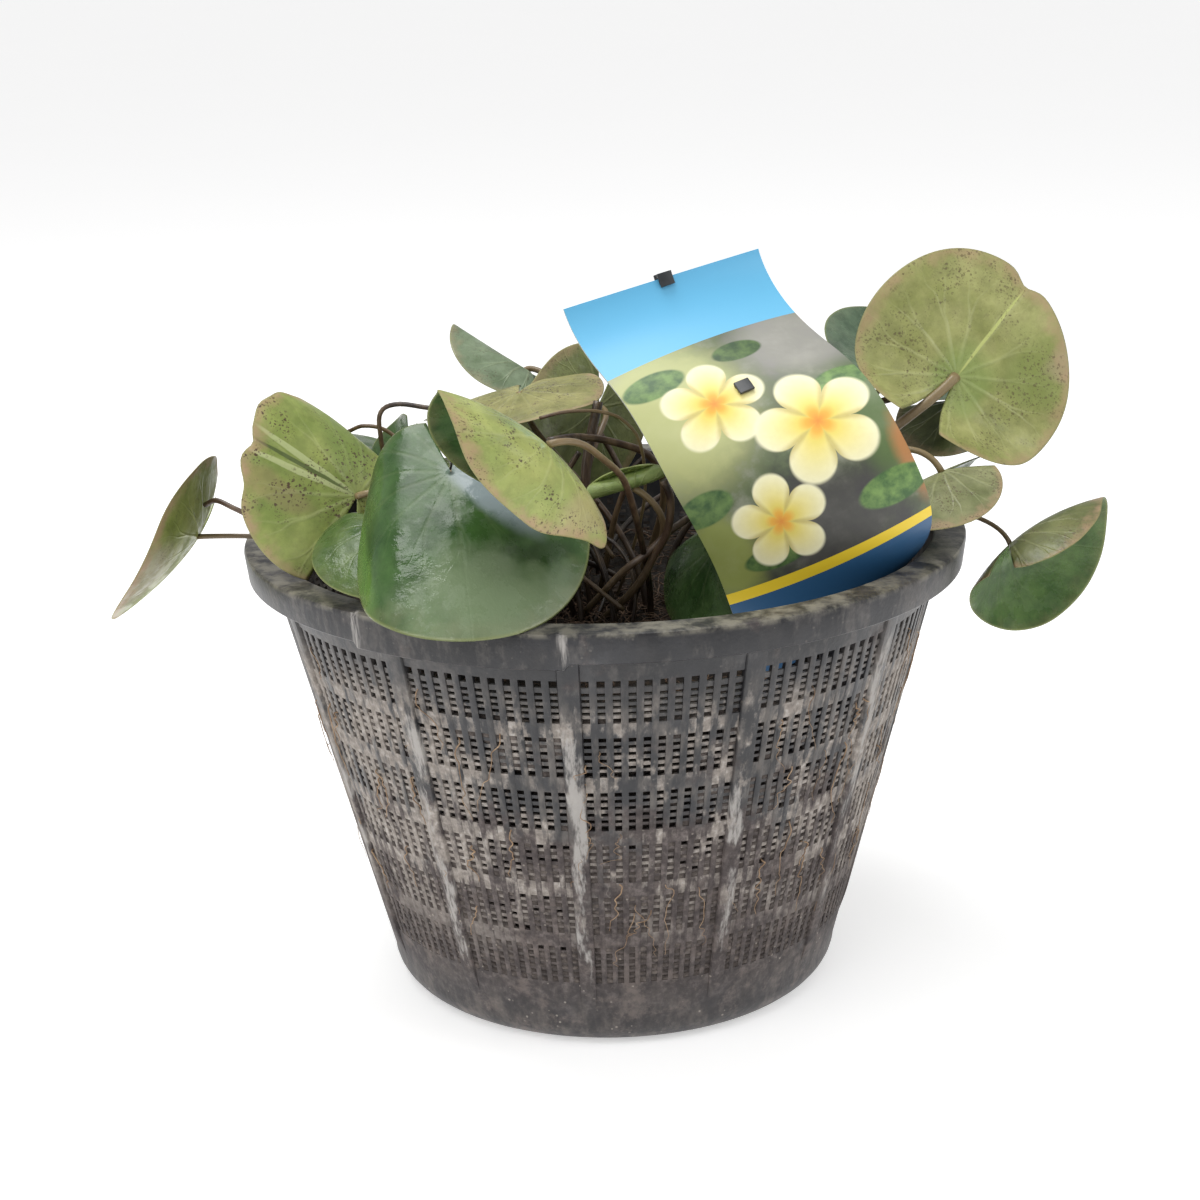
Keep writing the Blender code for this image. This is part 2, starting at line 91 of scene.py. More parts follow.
def piece(name, patches, material, sharp=None, merge=1e-7):
    """Joins patches in one mesh object at the origin, closes its seams and shades it smooth."""
    starts = np.cumsum([0] + [len(part["points"]) for part in patches])
    points = np.concatenate([part["points"] for part in patches])
    faces = np.concatenate([part["faces"] + start for part, start in zip(patches, starts)])
    uv = np.concatenate([part["uv"] for part in patches]).reshape(-1)
    mesh = bpy.data.meshes.new(name)
    mesh.from_pydata(points, [], faces.tolist())
    mesh.uv_layers.new(name="pattern").data.foreach_set("uv", uv.astype(np.float32))
    for key in patches[0]["values"]:
        layer = mesh.attributes.new(key, "FLOAT", "POINT")
        whole = np.concatenate([part["values"][key] for part in patches])
        layer.data.foreach_set("value", whole.astype(np.float32))
    if merge:
        shape = bmesh.new()
        shape.from_mesh(mesh)
        bmesh.ops.remove_doubles(shape, verts=shape.verts, dist=merge)
        loose = [face for face in shape.faces if face.calc_area() < 1e-14]
        bmesh.ops.delete(shape, geom=loose, context="FACES_ONLY")
        shape.to_mesh(mesh)
        shape.free()
    mesh.shade_smooth()
    if sharp:
        mesh.set_sharp_from_angle(angle=math.radians(sharp))
    mesh.materials.append(material)
    obj = bpy.data.objects.new(name, mesh)
    bpy.context.scene.collection.objects.link(obj)
    print(f"{name}: {len(mesh.polygons)} faces")
    return obj


def settle(obj, slot, *nodes):
    """The piece rides on the one body and stands for CAD nodes, which are hidden; slot is not used."""
    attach(obj, "root")
    if nodes:
        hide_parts(*nodes)
    return obj


# %% [markdown]
# ## A short way to write node trees
#
# A finish is a tree of nodes between the place on the surface and the shader. Written out
# with bpy, each node takes five lines, so these helpers make one in a call: a value that
# is a socket is linked, and any other value is set.

# %% Make shader nodes in one call
def node(tree, kind, inputs=None, **settings):
    made = tree.nodes.new("ShaderNode" + kind)
    for name, value in settings.items():
        setattr(made, name, value)
    for name, value in (inputs or {}).items():
        if isinstance(value, bpy.types.NodeSocket):
            tree.links.new(value, made.inputs[name])
        else:
            made.inputs[name].default_value = value
    return made


def calc(tree, operation, *values, clamp=False):
    return node(tree, "Math", dict(enumerate(values)), operation=operation, use_clamp=clamp).outputs[0]


def spread(tree, value, low, high, start=0.0, end=1.0):
    """A smooth step of value: start below low, end above high."""
    limits = {"Value": value, "From Min": low, "From Max": high, "To Min": start, "To Max": end}
    return node(tree, "MapRange", limits, interpolation_type="SMOOTHSTEP").outputs[0]


def blend(tree, factor, first, second, kind="MIX"):
    first, second = (c if isinstance(c, bpy.types.NodeSocket) else (*c, 1.0) for c in (first, second))
    made = node(tree, "Mix", {0: factor, 6: first, 7: second}, data_type="RGBA", blend_type=kind)
    return made.outputs[2]


def noise(tree, where, scale, detail=4.0, roughness=0.55, stretch=None):
    """Noise with features of about 1/scale metres, stretched by factors along the axes."""
    if stretch:
        where = node(tree, "Mapping", {"Vector": where, "Scale": stretch}).outputs[0]
    inputs = {"Vector": where, "Scale": scale, "Detail": detail, "Roughness": roughness}
    return node(tree, "TexNoise", inputs).outputs["Fac"]


def ramp(tree, value, *stops):
    """A colour ramp; each stop is a place and a colour."""
    made = node(tree, "ValToRGB", {0: value})
    while len(made.color_ramp.elements) < len(stops):
        made.color_ramp.elements.new(0.5)
    for element, (place, colour) in zip(made.color_ramp.elements, stops):
        element.position = place
        element.color = (*colour, 1.0)
    return made.outputs[0]


def bump(tree, height, distance, strength=1.0):
    return node(tree, "Bump", {"Height": height, "Distance": distance, "Strength": strength}).outputs[0]


def value_of(tree, name):
    """A value that the mesh carries at its points."""
    return node(tree, "Attribute", attribute_name=name).outputs["Fac"]


def object_place(tree):
    return node(tree, "TexCoord").outputs["Object"]


def new_material(name, roughness=0.5, **fixed):
    """A material, its tree and its shader; fixed sets sockets, with _ for a space."""
    material = bpy.data.materials.new(name)
    material.use_nodes = True
    tree = material.node_tree
    shader = tree.nodes["Principled BSDF"]
    shader.inputs["Roughness"].default_value = roughness
    for socket, value in fixed.items():
        shader.inputs[socket.replace("_", " ")].default_value = value
    return material, tree, shader


def finish_with(tree, shader, **links):
    for socket, value in links.items():
        tree.links.new(value, shader.inputs[socket.replace("_", " ")])


# %% [markdown]
# ## Camera, light and floor
#
# The photograph looks slightly down on the basket from about 75 cm with a moderate tele
# lens. A white world and four large area lights give soft studio light, and the pale floor
# runs on far behind.

# %% Set the camera, the lights and the floor
AIM = Vector((-0.002, 0.0, 0.118))
DISTANCE = 0.745
ELEVATION = math.radians(16.9)
ROLL = math.radians(-1.43)

camera = bpy.data.objects.new("camera", bpy.data.cameras.new("camera"))
camera.data.lens = 72
camera.data.sensor_width = 36
camera.data.clip_start = 0.01
away = Vector((0, -math.cos(ELEVATION), math.sin(ELEVATION)))
tilt = Matrix.Rotation(math.pi / 2 - ELEVATION, 4, "X") @ Matrix.Rotation(ROLL, 4, "Z")
camera.matrix_world = Matrix.Translation(AIM + away * DISTANCE) @ tilt
bpy.context.scene.collection.objects.link(camera)
bpy.context.scene.camera = camera
bpy.context.scene.view_settings.view_transform = "Standard"


def area_light(name, place, size, power, colour=(1, 1, 1), aim=(0, 0, 0.12)):
    light = bpy.data.lights.new(name, "AREA")
    light.shape = "DISK"
    light.size = size
    light.energy = power
    light.color = colour
    obj = bpy.data.objects.new(name, light)
    obj.matrix_world = Matrix.Translation(place) @ (
        (Vector(place) - Vector(aim)).to_track_quat("Z", "Y").to_matrix().to_4x4())
    bpy.context.scene.collection.objects.link(obj)


area_light("top_softbox", (-0.25, 0.15, 1.25), 0.8, 9.0)
area_light("front_softbox", (-0.30, -0.95, 1.25), 0.9, 5.5)
area_light("right_softbox", (1.05, -0.35, 0.80), 0.6, 2.5)
area_light("left_softbox", (-1.10, -0.45, 0.45), 0.6, 2.2)

world = bpy.data.worlds.new("studio")
bpy.context.scene.world = world
world.use_nodes = True
world.node_tree.nodes["Background"].inputs["Color"].default_value = (1, 1, 1, 1)
world.node_tree.nodes["Background"].inputs["Strength"].default_value = 0.50

floor_material, tree, shader = new_material("pale_floor", 0.6)
tint = noise(tree, object_place(tree), 3.0, 2.0)
finish_with(tree, shader, Base_Color=blend(tree, tint, (0.88, 0.88, 0.88), (0.90, 0.90, 0.90)))
shader.inputs["Emission Color"].default_value = (1, 1, 1, 1)
shader.inputs["Emission Strength"].default_value = 0.46
side = np.linspace(-8, 8, 3)
across, along = np.meshgrid(side, side)
floor = piece("floor", [patch(np.stack([across, along, 0 * across], 2), flip=True)], floor_material)

# %% [markdown]
# ## The basket's lattice
#
# The wall tapers straight from the rim to a rounded foot. Twelve flat ribs run down it, and
# between two ribs lie eleven columns of small oblong holes, so the whole wall follows 144
# equal steps of 2.5 degrees. The holes come in six bands of six rows. Upright bars stand
# slightly proud of the thin slats between the rows, which is where wet clay collects.
# Cutting 4752 holes with Booleans would be slow, so the lattice is built the way it looks:
# hoops for the slats and for the plain bands, bars and ribs across them, and a turned rim.

# %% Sizes of the basket
basket_low, basket_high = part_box("basket")
HEIGHT = basket_high.z
RIM_RADIUS = basket_high.x
SKIRT = 9 * MM
WALL_TOP = HEIGHT - SKIRT
WALL_TOP_RADIUS = 101.8 * MM
FOOT_RADIUS = 70.6 * MM
FOOT_CORNER = 10 * MM
WALL = 1.6 * MM
STEPS = 144
STEP = 2 * math.pi / STEPS
RIB_EVERY = 12
FIRST_RIB = math.radians(-36.4)
HOLE_HALF_ANGLE = math.radians(0.65)
ROW_PITCH = 2.25 * MM
BAND_PITCH = 17.8 * MM
SECOND_BAND = 106.5 * MM
FIRST_BAND_ROWS = np.array([124.2, 120.9, 118.9, 116.9, 114.9, 112.6]) * MM


def wall_radius(height):
    taper = (WALL_TOP_RADIUS - FOOT_RADIUS) / (WALL_TOP - FOOT_CORNER)
    return WALL_TOP_RADIUS - (WALL_TOP - np.minimum(height, WALL_TOP)) * taper


def polar(angle, radius, height):
    """Points at an angle in radians from -Y towards +X."""
    angle, radius, height = np.broadcast_arrays(angle, radius, height)
    return np.stack([radius * np.sin(angle), -radius * np.cos(angle), height], -1)


def hole_rows():
    """Top and bottom height of every row of holes, from the rim down, band by band."""
    bands = []
    for band in range(6):
        if band == 0:
            centres, heights = FIRST_BAND_ROWS, np.array([2.3, 1.0, 1.0, 1.0, 1.0, 1.5]) * MM
        else:
            centres = SECOND_BAND - BAND_PITCH * (band - 1) - ROW_PITCH * np.arange(6)
            heights = np.array([1.4, 1.05, 1.05, 1.05, 1.05, 1.6]) * MM
        bands.append(np.stack([centres + heights / 2, centres - heights / 2], 1))
    return np.array(bands)


rows = hole_rows()
bar_angles = FIRST_RIB + (np.arange(STEPS) + 0.5) * STEP
hole_angles = FIRST_RIB + np.arange(STEPS) * STEP
print("holes:", rows.shape[0] * rows.shape[1] * (STEPS - STEPS // RIB_EVERY))


# %% Hoops, bars, ribs and the turned rim and foot
def step_up(value, low, high):
    """0 below low, 1 above high and smooth between them."""
    t = np.clip((value - low) / (high - low), 0, 1)
    return t * t * (3 - 2 * t)


def closed_turn(profile, angles, **values):
    """Carries a closed profile of (radius, height) points round the axis."""
    radius, height = np.array(profile).T
    points = polar(angles[None, :], radius[:, None], height[:, None])
    return patch(points, wrap_rows=True, wrap_columns=True, **values)


def hoop(top, bottom, set_back, **values):
    """A ring of the wall between two heights, set back from its face."""
    inner = wall_radius(np.array([bottom, top])) - WALL + 0.1 * MM
    outer = wall_radius(np.array([top, bottom])) - set_back
    heights = [top, bottom, bottom, top]
    return closed_turn(list(zip([*outer, *inner], heights)), bar_angles, **values)


def upright(angle, half_angle, proud, top, bottom, section, pieces, recess, rib):
    """A bar down the wall: section holds (share of the half angle, share of the depth) pairs."""
    height = np.linspace(top, bottom, pieces)[:, None]
    across, depth = np.array(section).T
    proud = proud * step_up(height, 11 * MM, 24 * MM)
    radius = wall_radius(height) - WALL + (WALL + proud) * depth[None, :]
    points = polar(angle + half_angle * across[None, :], radius, height)
    made = [patch(points, wrap_columns=True, recess=recess, rib=rib)]
    for line, turned in ((points[0], True), (points[-1], False)):
        middle = np.broadcast_to(line.mean(0), line.shape)
        made.append(patch(np.stack([line, middle]), wrap_columns=True, flip=turned, recess=0.0, rib=0.0))
    return made


BAR_SECTION = [(-1, 0), (-1, 0.9), (-0.7, 1), (0.7, 1), (1, 0.9), (1, 0)]
RIB_SECTION = [(-1, 0), (-1, 0.72), (-0.9, 0.93), (-0.6, 1), (0, 1.02), (0.6, 1), (0.9, 0.93),
               (1, 0.72), (1, 0)]
BAND_RECESS = 0.15 * MM
SLAT_RECESS = 0.45 * MM
RIB_PROUD = 0.9 * MM
WORN_ALL = ((122, 0.0), (108, 0.6), (30, 0.8), (18, 0.0))
WORN_GAP = ((92, 0.0), (86, 0.8), (70, 0.9), (66, 0.0), (62, 0.0), (58, 0.8), (34, 0.8), (28, 0.0))
WORN = [((114, 0.0), (104, 1.0), (30, 1.0), (18, 0.0)), ((114, 0.0), (106, 1.1), (34, 1.0), (16, 0.0)),
        WORN_GAP, ((126, 0.2), (118, 0.7), (40, 0.7), (20, 0.0))] + [WORN_ALL, WORN_GAP] * 4


def make_lattice():
    edges = rows.reshape(-1, 2)
    made = []
    for upper, lower in zip(edges[:-1], edges[1:]):
        slat = upper[1] - lower[0] < 3 * MM
        made.append(hoop(upper[1], lower[0], SLAT_RECESS if slat else BAND_RECESS,
                         recess=1.0 if slat else 0.5, rib=0.0))
    for i in range(STEPS):
        if i % RIB_EVERY and (i + 1) % RIB_EVERY:
            made += upright(bar_angles[i], STEP / 2 - HOLE_HALF_ANGLE, 0.0, edges[0, 0] + MM,
                            edges[-1, 1] - MM, BAR_SECTION, 8, recess=0.0, rib=0.0)
    top, pieces = HEIGHT - 1.2 * WALL, 60
    height = np.linspace(top, FOOT_CORNER, pieces)
    across = np.array(RIB_SECTION)[None, :, 0]
    for angle, worn in zip(hole_angles[::RIB_EVERY], WORN):
        rub = np.interp(height, *np.array(worn).T[:, ::-1] * ((MM,), (1,)))[:, None]
        middle = 0.35 * np.sin(height / (9 * MM) + 5 * angle) + 0.2 * np.sin(height / (3.7 * MM))
        rub = rub * np.exp(-((across - middle[:, None]) / 0.75) ** 2)
        made += upright(angle, STEP - HOLE_HALF_ANGLE, RIB_PROUD, top, FOOT_CORNER, RIB_SECTION,
                        pieces, recess=0.0, rib=rub)
    return made


# %% [markdown]
# The rim is one moulding with a flat flange and a skirt that hangs down round it, open
# underneath. Between two of the ribs at the front the skirt is a little deeper. The foot
# closes the wall with a rounded corner, and slots in the base let the water in.

# %% Rim, foot and base
SKIRT_FOOT_RADIUS = 109 * MM
DEEP_SKIRT = 1.7 * MM
BASE_SLOTS = (14, 24, 34, 44, 54)
SLOT_HALF = 1.5 * MM
SLOT_DEPTH = 1.0 * MM
FINE_STEPS = 576
DEEP_FROM, DEEP_TO = math.radians(-39.3), math.radians(-6.3)
fine_angles = np.arange(FINE_STEPS) * 2 * math.pi / FINE_STEPS - math.pi


def make_rim():
    """A closed profile round the rim; the skirt's foot drops, and is scuffed where it steps."""
    step = math.radians(0.9)
    deep = (step_up(fine_angles, DEEP_FROM - step, DEEP_FROM)
            - step_up(fine_angles, DEEP_TO, DEEP_TO + step))
    scuff = sum(0.6 * np.exp(-((fine_angles - at) / step) ** 2) for at in (DEEP_FROM, DEEP_TO))
    lowest = WALL_TOP - DEEP_SKIRT * deep
    first_hole = rows[0, 0, 0]
    round_off = 0.5 * MM
    inner = WALL_TOP_RADIUS - WALL
    profile = [
        (inner, WALL_TOP), (inner, HEIGHT - round_off), (inner + round_off, HEIGHT),
        (RIM_RADIUS - 1.2 * MM, HEIGHT), (RIM_RADIUS - 0.35 * MM, HEIGHT - 0.35 * MM),
        (RIM_RADIUS, HEIGHT - 1.2 * MM), (SKIRT_FOOT_RADIUS + 0.1 * MM, None),
        (SKIRT_FOOT_RADIUS - 0.4 * MM, None), (SKIRT_FOOT_RADIUS - 1.4 * MM, None),
        (RIM_RADIUS - WALL, HEIGHT - WALL), (WALL_TOP_RADIUS + MM, HEIGHT - WALL),
        (WALL_TOP_RADIUS, HEIGHT - WALL - MM), (WALL_TOP_RADIUS, WALL_TOP),
        (wall_radius(first_hole), first_hole), (wall_radius(first_hole) - WALL, first_hole)]
    hang = iter((0.4 * MM, 0.0, 0.3 * MM))
    height = [lowest + next(hang) if z is None else np.full(FINE_STEPS, z) for _, z in profile]
    radius = np.array([r for r, _ in profile])[:, None]
    points = polar(fine_angles[None, :], radius, np.array(height))
    return patch(points, wrap_rows=True, wrap_columns=True, recess=0.0, rib=scuff[None, :])


def corner_arc(radius, points=9):
    """The rounded corner from the wall down to the floor."""
    angle = np.linspace(0, -math.pi / 2, points)
    middle = FOOT_RADIUS - FOOT_CORNER
    return list(zip(middle + radius * np.cos(angle), FOOT_CORNER + radius * np.sin(angle)))


def make_foot():
    top = rows[-1, -1, 1]
    outside = [(wall_radius(top), top), (wall_radius(15 * MM), 15 * MM)] + corner_arc(FOOT_CORNER)
    under = []
    for radius in BASE_SLOTS[::-1]:
        under += [(radius * MM + SLOT_HALF + 0.1 * MM, 0), (radius * MM + SLOT_HALF, 1),
                  (radius * MM - SLOT_HALF, 1), (radius * MM - SLOT_HALF - 0.1 * MM, 0)]
    inside = [(0, 0), (0, WALL)] + corner_arc(FOOT_CORNER - WALL)[::-1]
    inside += [(wall_radius(top) - WALL, top)]
    slot = np.where(np.arange(STEPS) % 4 < 2, SLOT_DEPTH, 0)
    profile = outside + under + inside
    radius = np.array([r for r, _ in profile])[:, None]
    height = np.array([[z] * STEPS for _, z in profile], float)
    first, last = len(outside), len(outside) + len(under)
    height[first:last] *= slot
    points = polar(bar_angles[None, :], radius, height)
    return patch(points, wrap_rows=True, wrap_columns=True, recess=0.0, rib=0.0)


# %% [markdown]
# ## Scuffed plastic with dried clay
#
# The basket is dark grey and rubbed to a lighter grey. Pale clay has dried in the low places,
# on the slats and along the ribs, in streaks that run down, and brown mud covers more of
# the wall towards the foot. One tree does it all from three things: the place on the
# object, and the "recess" and "rib" values that each patch carries.

# %% Finish of the basket
def basket_finish():
    material, tree, shader = new_material("basket_plastic", 0.45)
    place = object_place(tree)
    height = node(tree, "SeparateXYZ", {0: place}).outputs["Z"]
    recess, rib = value_of(tree, "recess"), value_of(tree, "rib")

    plastic = ramp(tree, noise(tree, place, 60, 5), (0.32, (0.010, 0.010, 0.012)),
                   (0.60, (0.024, 0.024, 0.027)), (0.75, (0.052, 0.052, 0.056)))
    film = spread(tree, noise(tree, place, 240, 5, 0.6, stretch=(1, 1, 0.35)), 0.42, 0.70)
    film = calc(tree, "MULTIPLY", film, spread(tree, height, 0.128, 0.110, 0.08, 0.85))
    colour = blend(tree, film, plastic, (0.125, 0.110, 0.098))

    brown = calc(tree, "ADD", noise(tree, place, 55, 6, 0.65), spread(tree, height, 0.112, 0.035, -0.08, 0.30))
    mud = calc(tree, "MULTIPLY", spread(tree, brown, 0.50, 0.66), 0.92)
    mud = calc(tree, "MULTIPLY", mud, spread(tree, height, 0.002, 0.034, 0.25, 1.0))
    mud_colour = ramp(tree, noise(tree, place, 420, 5, 0.65), (0.34, (0.040, 0.031, 0.030)),
                      (0.52, (0.076, 0.061, 0.058)), (0.70, (0.165, 0.138, 0.130)))
    colour = blend(tree, mud, colour, mud_colour)
    crust = spread(tree, noise(tree, place, 130, 6, 0.72), 0.50, 0.66)
    crust = calc(tree, "MULTIPLY", crust, spread(tree, height, 0.085, 0.040, 0.0, 0.55))
    colour = blend(tree, crust, colour, (0.170, 0.137, 0.122))

    runs = noise(tree, place, 330, 4, 0.6, stretch=(1, 1, 0.22))
    patches = noise(tree, place, 85, 5, 0.65, stretch=(1, 1, 0.8))
    wet = calc(tree, "ADD", calc(tree, "MULTIPLY", patches, 0.62), calc(tree, "MULTIPLY", runs, 0.38))
    held = node(tree, "MapRange", {"Value": recess, "From Min": 0.0, "From Max": 0.5}).outputs[0]
    wet = calc(tree, "MULTIPLY_ADD", held, 0.055, wet)
    flank = calc(tree, "ABSOLUTE", calc(tree, "ADD", node(tree, "SeparateXYZ", {0: place}).outputs["X"], -0.012))
    wet = calc(tree, "ADD", wet, spread(tree, flank, 0.020, 0.075, -0.006, 0.085))
    clay = spread(tree, wet, 0.520, 0.625)
    clay = calc(tree, "MULTIPLY", clay, spread(tree, height, 0.124, 0.108, 0.15, 0.95))
    clay = calc(tree, "MULTIPLY", clay, spread(tree, height, 0.020, 0.060, 0.0, 1.0))
    clay_colour = ramp(tree, noise(tree, place, 500, 5, 0.6), (0.35, (0.19, 0.165, 0.145)),
                       (0.55, (0.31, 0.275, 0.245)), (0.72, (0.46, 0.425, 0.39)))
    colour = blend(tree, clay, colour, clay_colour)

    scratches = noise(tree, place, 900, 4, 0.65, stretch=(1, 1, 0.03))
    along = noise(tree, place, 95, 4, 0.6, stretch=(1, 1, 0.22))
    rubbed = calc(tree, "ADD", calc(tree, "MULTIPLY", scratches, 0.45), calc(tree, "MULTIPLY", along, 0.55))
    rubbed = calc(tree, "MULTIPLY_ADD", rib, 0.15, rubbed)
    rubbed = calc(tree, "MULTIPLY", spread(tree, rubbed, 0.55, 0.69), spread(tree, rib, 0.05, 0.5, 0.0, 0.9))
    colour = blend(tree, rubbed, colour, (0.37, 0.35, 0.33))

    rim_dust = spread(tree, height, 0.1400, 0.1418)
    rim_dust = calc(tree, "MULTIPLY", rim_dust, spread(tree, noise(tree, place, 120, 6, 0.65), 0.40, 0.62))
    colour = blend(tree, calc(tree, "MULTIPLY", rim_dust, 0.85), colour, (0.21, 0.195, 0.155))
    grit = node(tree, "TexVoronoi", {"Vector": place, "Scale": 420.0}).outputs["Distance"]
    grit = calc(tree, "MULTIPLY", spread(tree, grit, 0.20, 0.10), spread(tree, noise(tree, place, 150), 0.52, 0.60))
    grit = calc(tree, "MULTIPLY", grit, spread(tree, height, 0.130, 0.030, 0.15, 0.75))
    colour = blend(tree, grit, colour, (0.33, 0.29, 0.25))
    dull = calc(tree, "MAXIMUM", calc(tree, "MAXIMUM", clay, mud), rubbed)
    relief = calc(tree, "ADD", noise(tree, place, 800, 4), calc(tree, "MULTIPLY", clay, 0.8))
    finish_with(tree, shader, Base_Color=colour, Roughness=spread(tree, dull, 0.0, 1.0, 0.38, 0.85),
                Normal=bump(tree, relief, 0.22 * MM, 0.6))
    return material


basket = piece("basket_moulding", make_lattice() + [make_rim(), make_foot()], basket_finish(), 38)
settle(basket, "basket_plastic", "basket")

# %% [markdown]
# ## Soil that presses through the holes
#
# The basket is packed with clay soil. It shows at the top, lumpy and wet, and again through
# every hole of the wall: in the upper bands most holes are open and dark, and lower down
# they are plugged with mud. The soil is one closed surface of revolution whose points are
# moved: over the top by slow and quick ripples, and down the side by a depth for each hole.

# %% Soil body with a plug in every hole
def ripple(points, wavelength, seed, count=14):
    """Smooth noise of about -1 to 1: a sum of cosine waves in seeded directions."""
    rng = np.random.default_rng(seed)
    direction = rng.normal(size=(count, 3))
    direction *= (2 * math.pi / wavelength) / np.linalg.norm(direction, axis=1)[:, None]
    phase = rng.uniform(0, 2 * math.pi, count)
    return np.cos(points @ direction.T + phase).sum(-1) / math.sqrt(count)


SOIL_HEIGHTS = ((0, 121.0), (30, 120.1), (50, 119.5), (66, 118), (80, 116), (94.7, 112.5))
SOIL_EDGE = 112.5 * MM
GAP = 0.3 * MM
OPEN_DEPTH = -2.6 * MM
PLUG_DEPTH = -0.28 * MM
BEHIND = -1.1 * MM


def soil_height(radius):
    at, height = np.array(SOIL_HEIGHTS).T * MM
    return np.interp(radius, at, height)


def make_soil():
    rng = np.random.default_rng(5)
    hole_edge = HOLE_HALF_ANGLE * 0.88
    angle = (hole_angles[:, None] + np.array([-STEP / 2, -hole_edge, hole_edge])).ravel()

    radius = np.linspace(0, 1, 70)[:, None] ** 0.85 * (wall_radius(SOIL_EDGE) - WALL - GAP)
    top = polar(angle[None, :], radius, soil_height(radius))
    fade = step_up(radius, 0.004, 0.02)
    top[..., 2] += fade * (0.9 * ripple(top, 0.021, 1) + 0.5 * ripple(top, 0.008, 2)
                           + 0.35 * ripple(top, 0.0035, 3)) * MM

    heights, hole_row = [SOIL_EDGE - 0.5 * MM], [False]
    for upper, lower in rows[1:].reshape(-1, 2):
        heights += [upper + 0.45 * MM, upper - 0.1 * MM, lower + 0.1 * MM]
        hole_row += [False, True, True]
    heights = np.array(heights)
    plugs = len(rows[1:].reshape(-1, 2))
    centres = rows[1:].reshape(-1, 2).mean(1)
    at = polar(hole_angles[None, :], wall_radius(centres)[:, None], centres[:, None])
    packed = 1.3 * step_up(-centres, -0.104, -0.035)[:, None] + 0.35 * ripple(at, 0.045, 4)
    chance = rng.uniform(0, 1, (plugs, STEPS))
    plugged = step_up(packed - chance, -0.08, 0.08)
    full = PLUG_DEPTH + 0.24 * MM * step_up(-centres, -0.062, -0.034)[:, None]
    uneven = rng.uniform(-0.25, 0.1, plugged.shape) * (1 - 0.7 * step_up(-centres, -0.062, -0.034)[:, None])
    depth = OPEN_DEPTH + (full - OPEN_DEPTH) * plugged + uneven * MM
    offset = np.full((len(heights), len(angle)), BEHIND)
    for edge in (1, 2):
        offset[2::3, edge::3] = depth
        offset[3::3, edge::3] = depth
    side = polar(angle[None, :], wall_radius(heights)[:, None] + offset, heights[:, None])

    low = np.linspace(heights[-1] - MM, FOOT_CORNER, 4)
    low_side = polar(angle[None, :], wall_radius(low)[:, None] - WALL - GAP, low[:, None])
    corner = np.array(corner_arc(FOOT_CORNER - WALL - GAP, 5) + [(0, WALL + GAP)])
    base = polar(angle[None, :], corner[1:, :1], corner[1:, 1:])
    points = np.concatenate([top, side, low_side, base])
    on_side = np.concatenate([np.zeros(len(top)), np.ones(len(points) - len(top))])[:, None]
    return patch(points, wrap_columns=True, side=on_side)


def make_shade_film():
    """A thin film on the wall above the soil, round the back, coloured like the soil: a dark sheet of painted shade
    that closes the holes of the top band behind the plant.
    """
    angle = np.radians(np.linspace(62, 298, 237))[None, :]
    profile = np.array([(-0.62, 0), (-0.62, 1), (-1.45, 1), (-1.45, 0)])
    crest = 125.6 * MM - (0.8 * MM) * np.abs(ripple(polar(angle, 0.1, 0.1), 0.012, 6))
    height = 110 * MM + profile[:, 1:] * (crest - 110 * MM)
    points = polar(angle, wall_radius(height) + profile[:, :1] * MM, height)
    made = [patch(points, wrap_rows=True, flip=True, side=0.6)]
    for column, turned in ((0, False), (-1, True)):
        made.append(patch(points[:, column].reshape(2, 2, 3), flip=turned, side=0.6))
    return made


def soil_finish():
    material, tree, shader = new_material("wet_soil", 0.6)
    place = object_place(tree)
    side = value_of(tree, "side")
    grain = noise(tree, place, 420, 6, 0.65)
    # Painted shade: the top's near-black browns are the wet soil's own dark colour, darkened further for the shade
    # under the leaves.
    top = ramp(tree, grain, (0.32, (0.006, 0.0045, 0.0035)), (0.55, (0.020, 0.015, 0.011)),
               (0.75, (0.065, 0.048, 0.034)))
    clay = ramp(tree, noise(tree, place, 300, 5), (0.35, (0.036, 0.029, 0.026)),
                (0.55, (0.088, 0.073, 0.066)), (0.74, (0.20, 0.17, 0.15)))
    shader.inputs["Specular IOR Level"].default_value = 0.2
    finish_with(tree, shader, Base_Color=blend(tree, side, top, clay),
                Roughness=spread(tree, grain, 0.35, 0.6, 0.6, 0.95),
                Normal=bump(tree, grain, 0.8 * MM))
    return material


soil_material = soil_finish()
settle(piece("soil_body", [make_soil()] + make_shade_film(), soil_material), "soil", "soil")

# %% [markdown]
# ## Tubes along a path
#
# Stalks, roots and the rootstock are all a circle carried along a smooth path. The circle
# stands square to the path: its first direction is the cross product of the path's own
# direction with a vector that the path never runs along, and its second direction is square to both.

# %% A circle carried along a path
def bezier(points, count):
    """Points of the cubic through foot and end, drawn by the two handles between them."""
    t = np.linspace(0, 1, count)[:, None]
    a, b, c, d = (np.array(point, float) for point in points)
    return (1 - t) ** 3 * a + 3 * t * (1 - t) ** 2 * b + 3 * t ** 2 * (1 - t) * c + t ** 3 * d


def through(points, count):
    """A smooth path through every given point, by Catmull-Rom pieces."""
    points = np.array(points, float)
    points = np.vstack([2 * points[0] - points[1], points, 2 * points[-1] - points[-2]])
    where = np.linspace(0, len(points) - 3 - 1e-9, count)
    i = where.astype(int)
    t = (where - i)[:, None]
    a, b, c, d = points[i], points[i + 1], points[i + 2], points[i + 3]
    return 0.5 * (2 * b + (c - a) * t + (2 * a - 5 * b + 4 * c - d) * t ** 2
                  + (3 * b - a - 3 * c + d) * t ** 3)


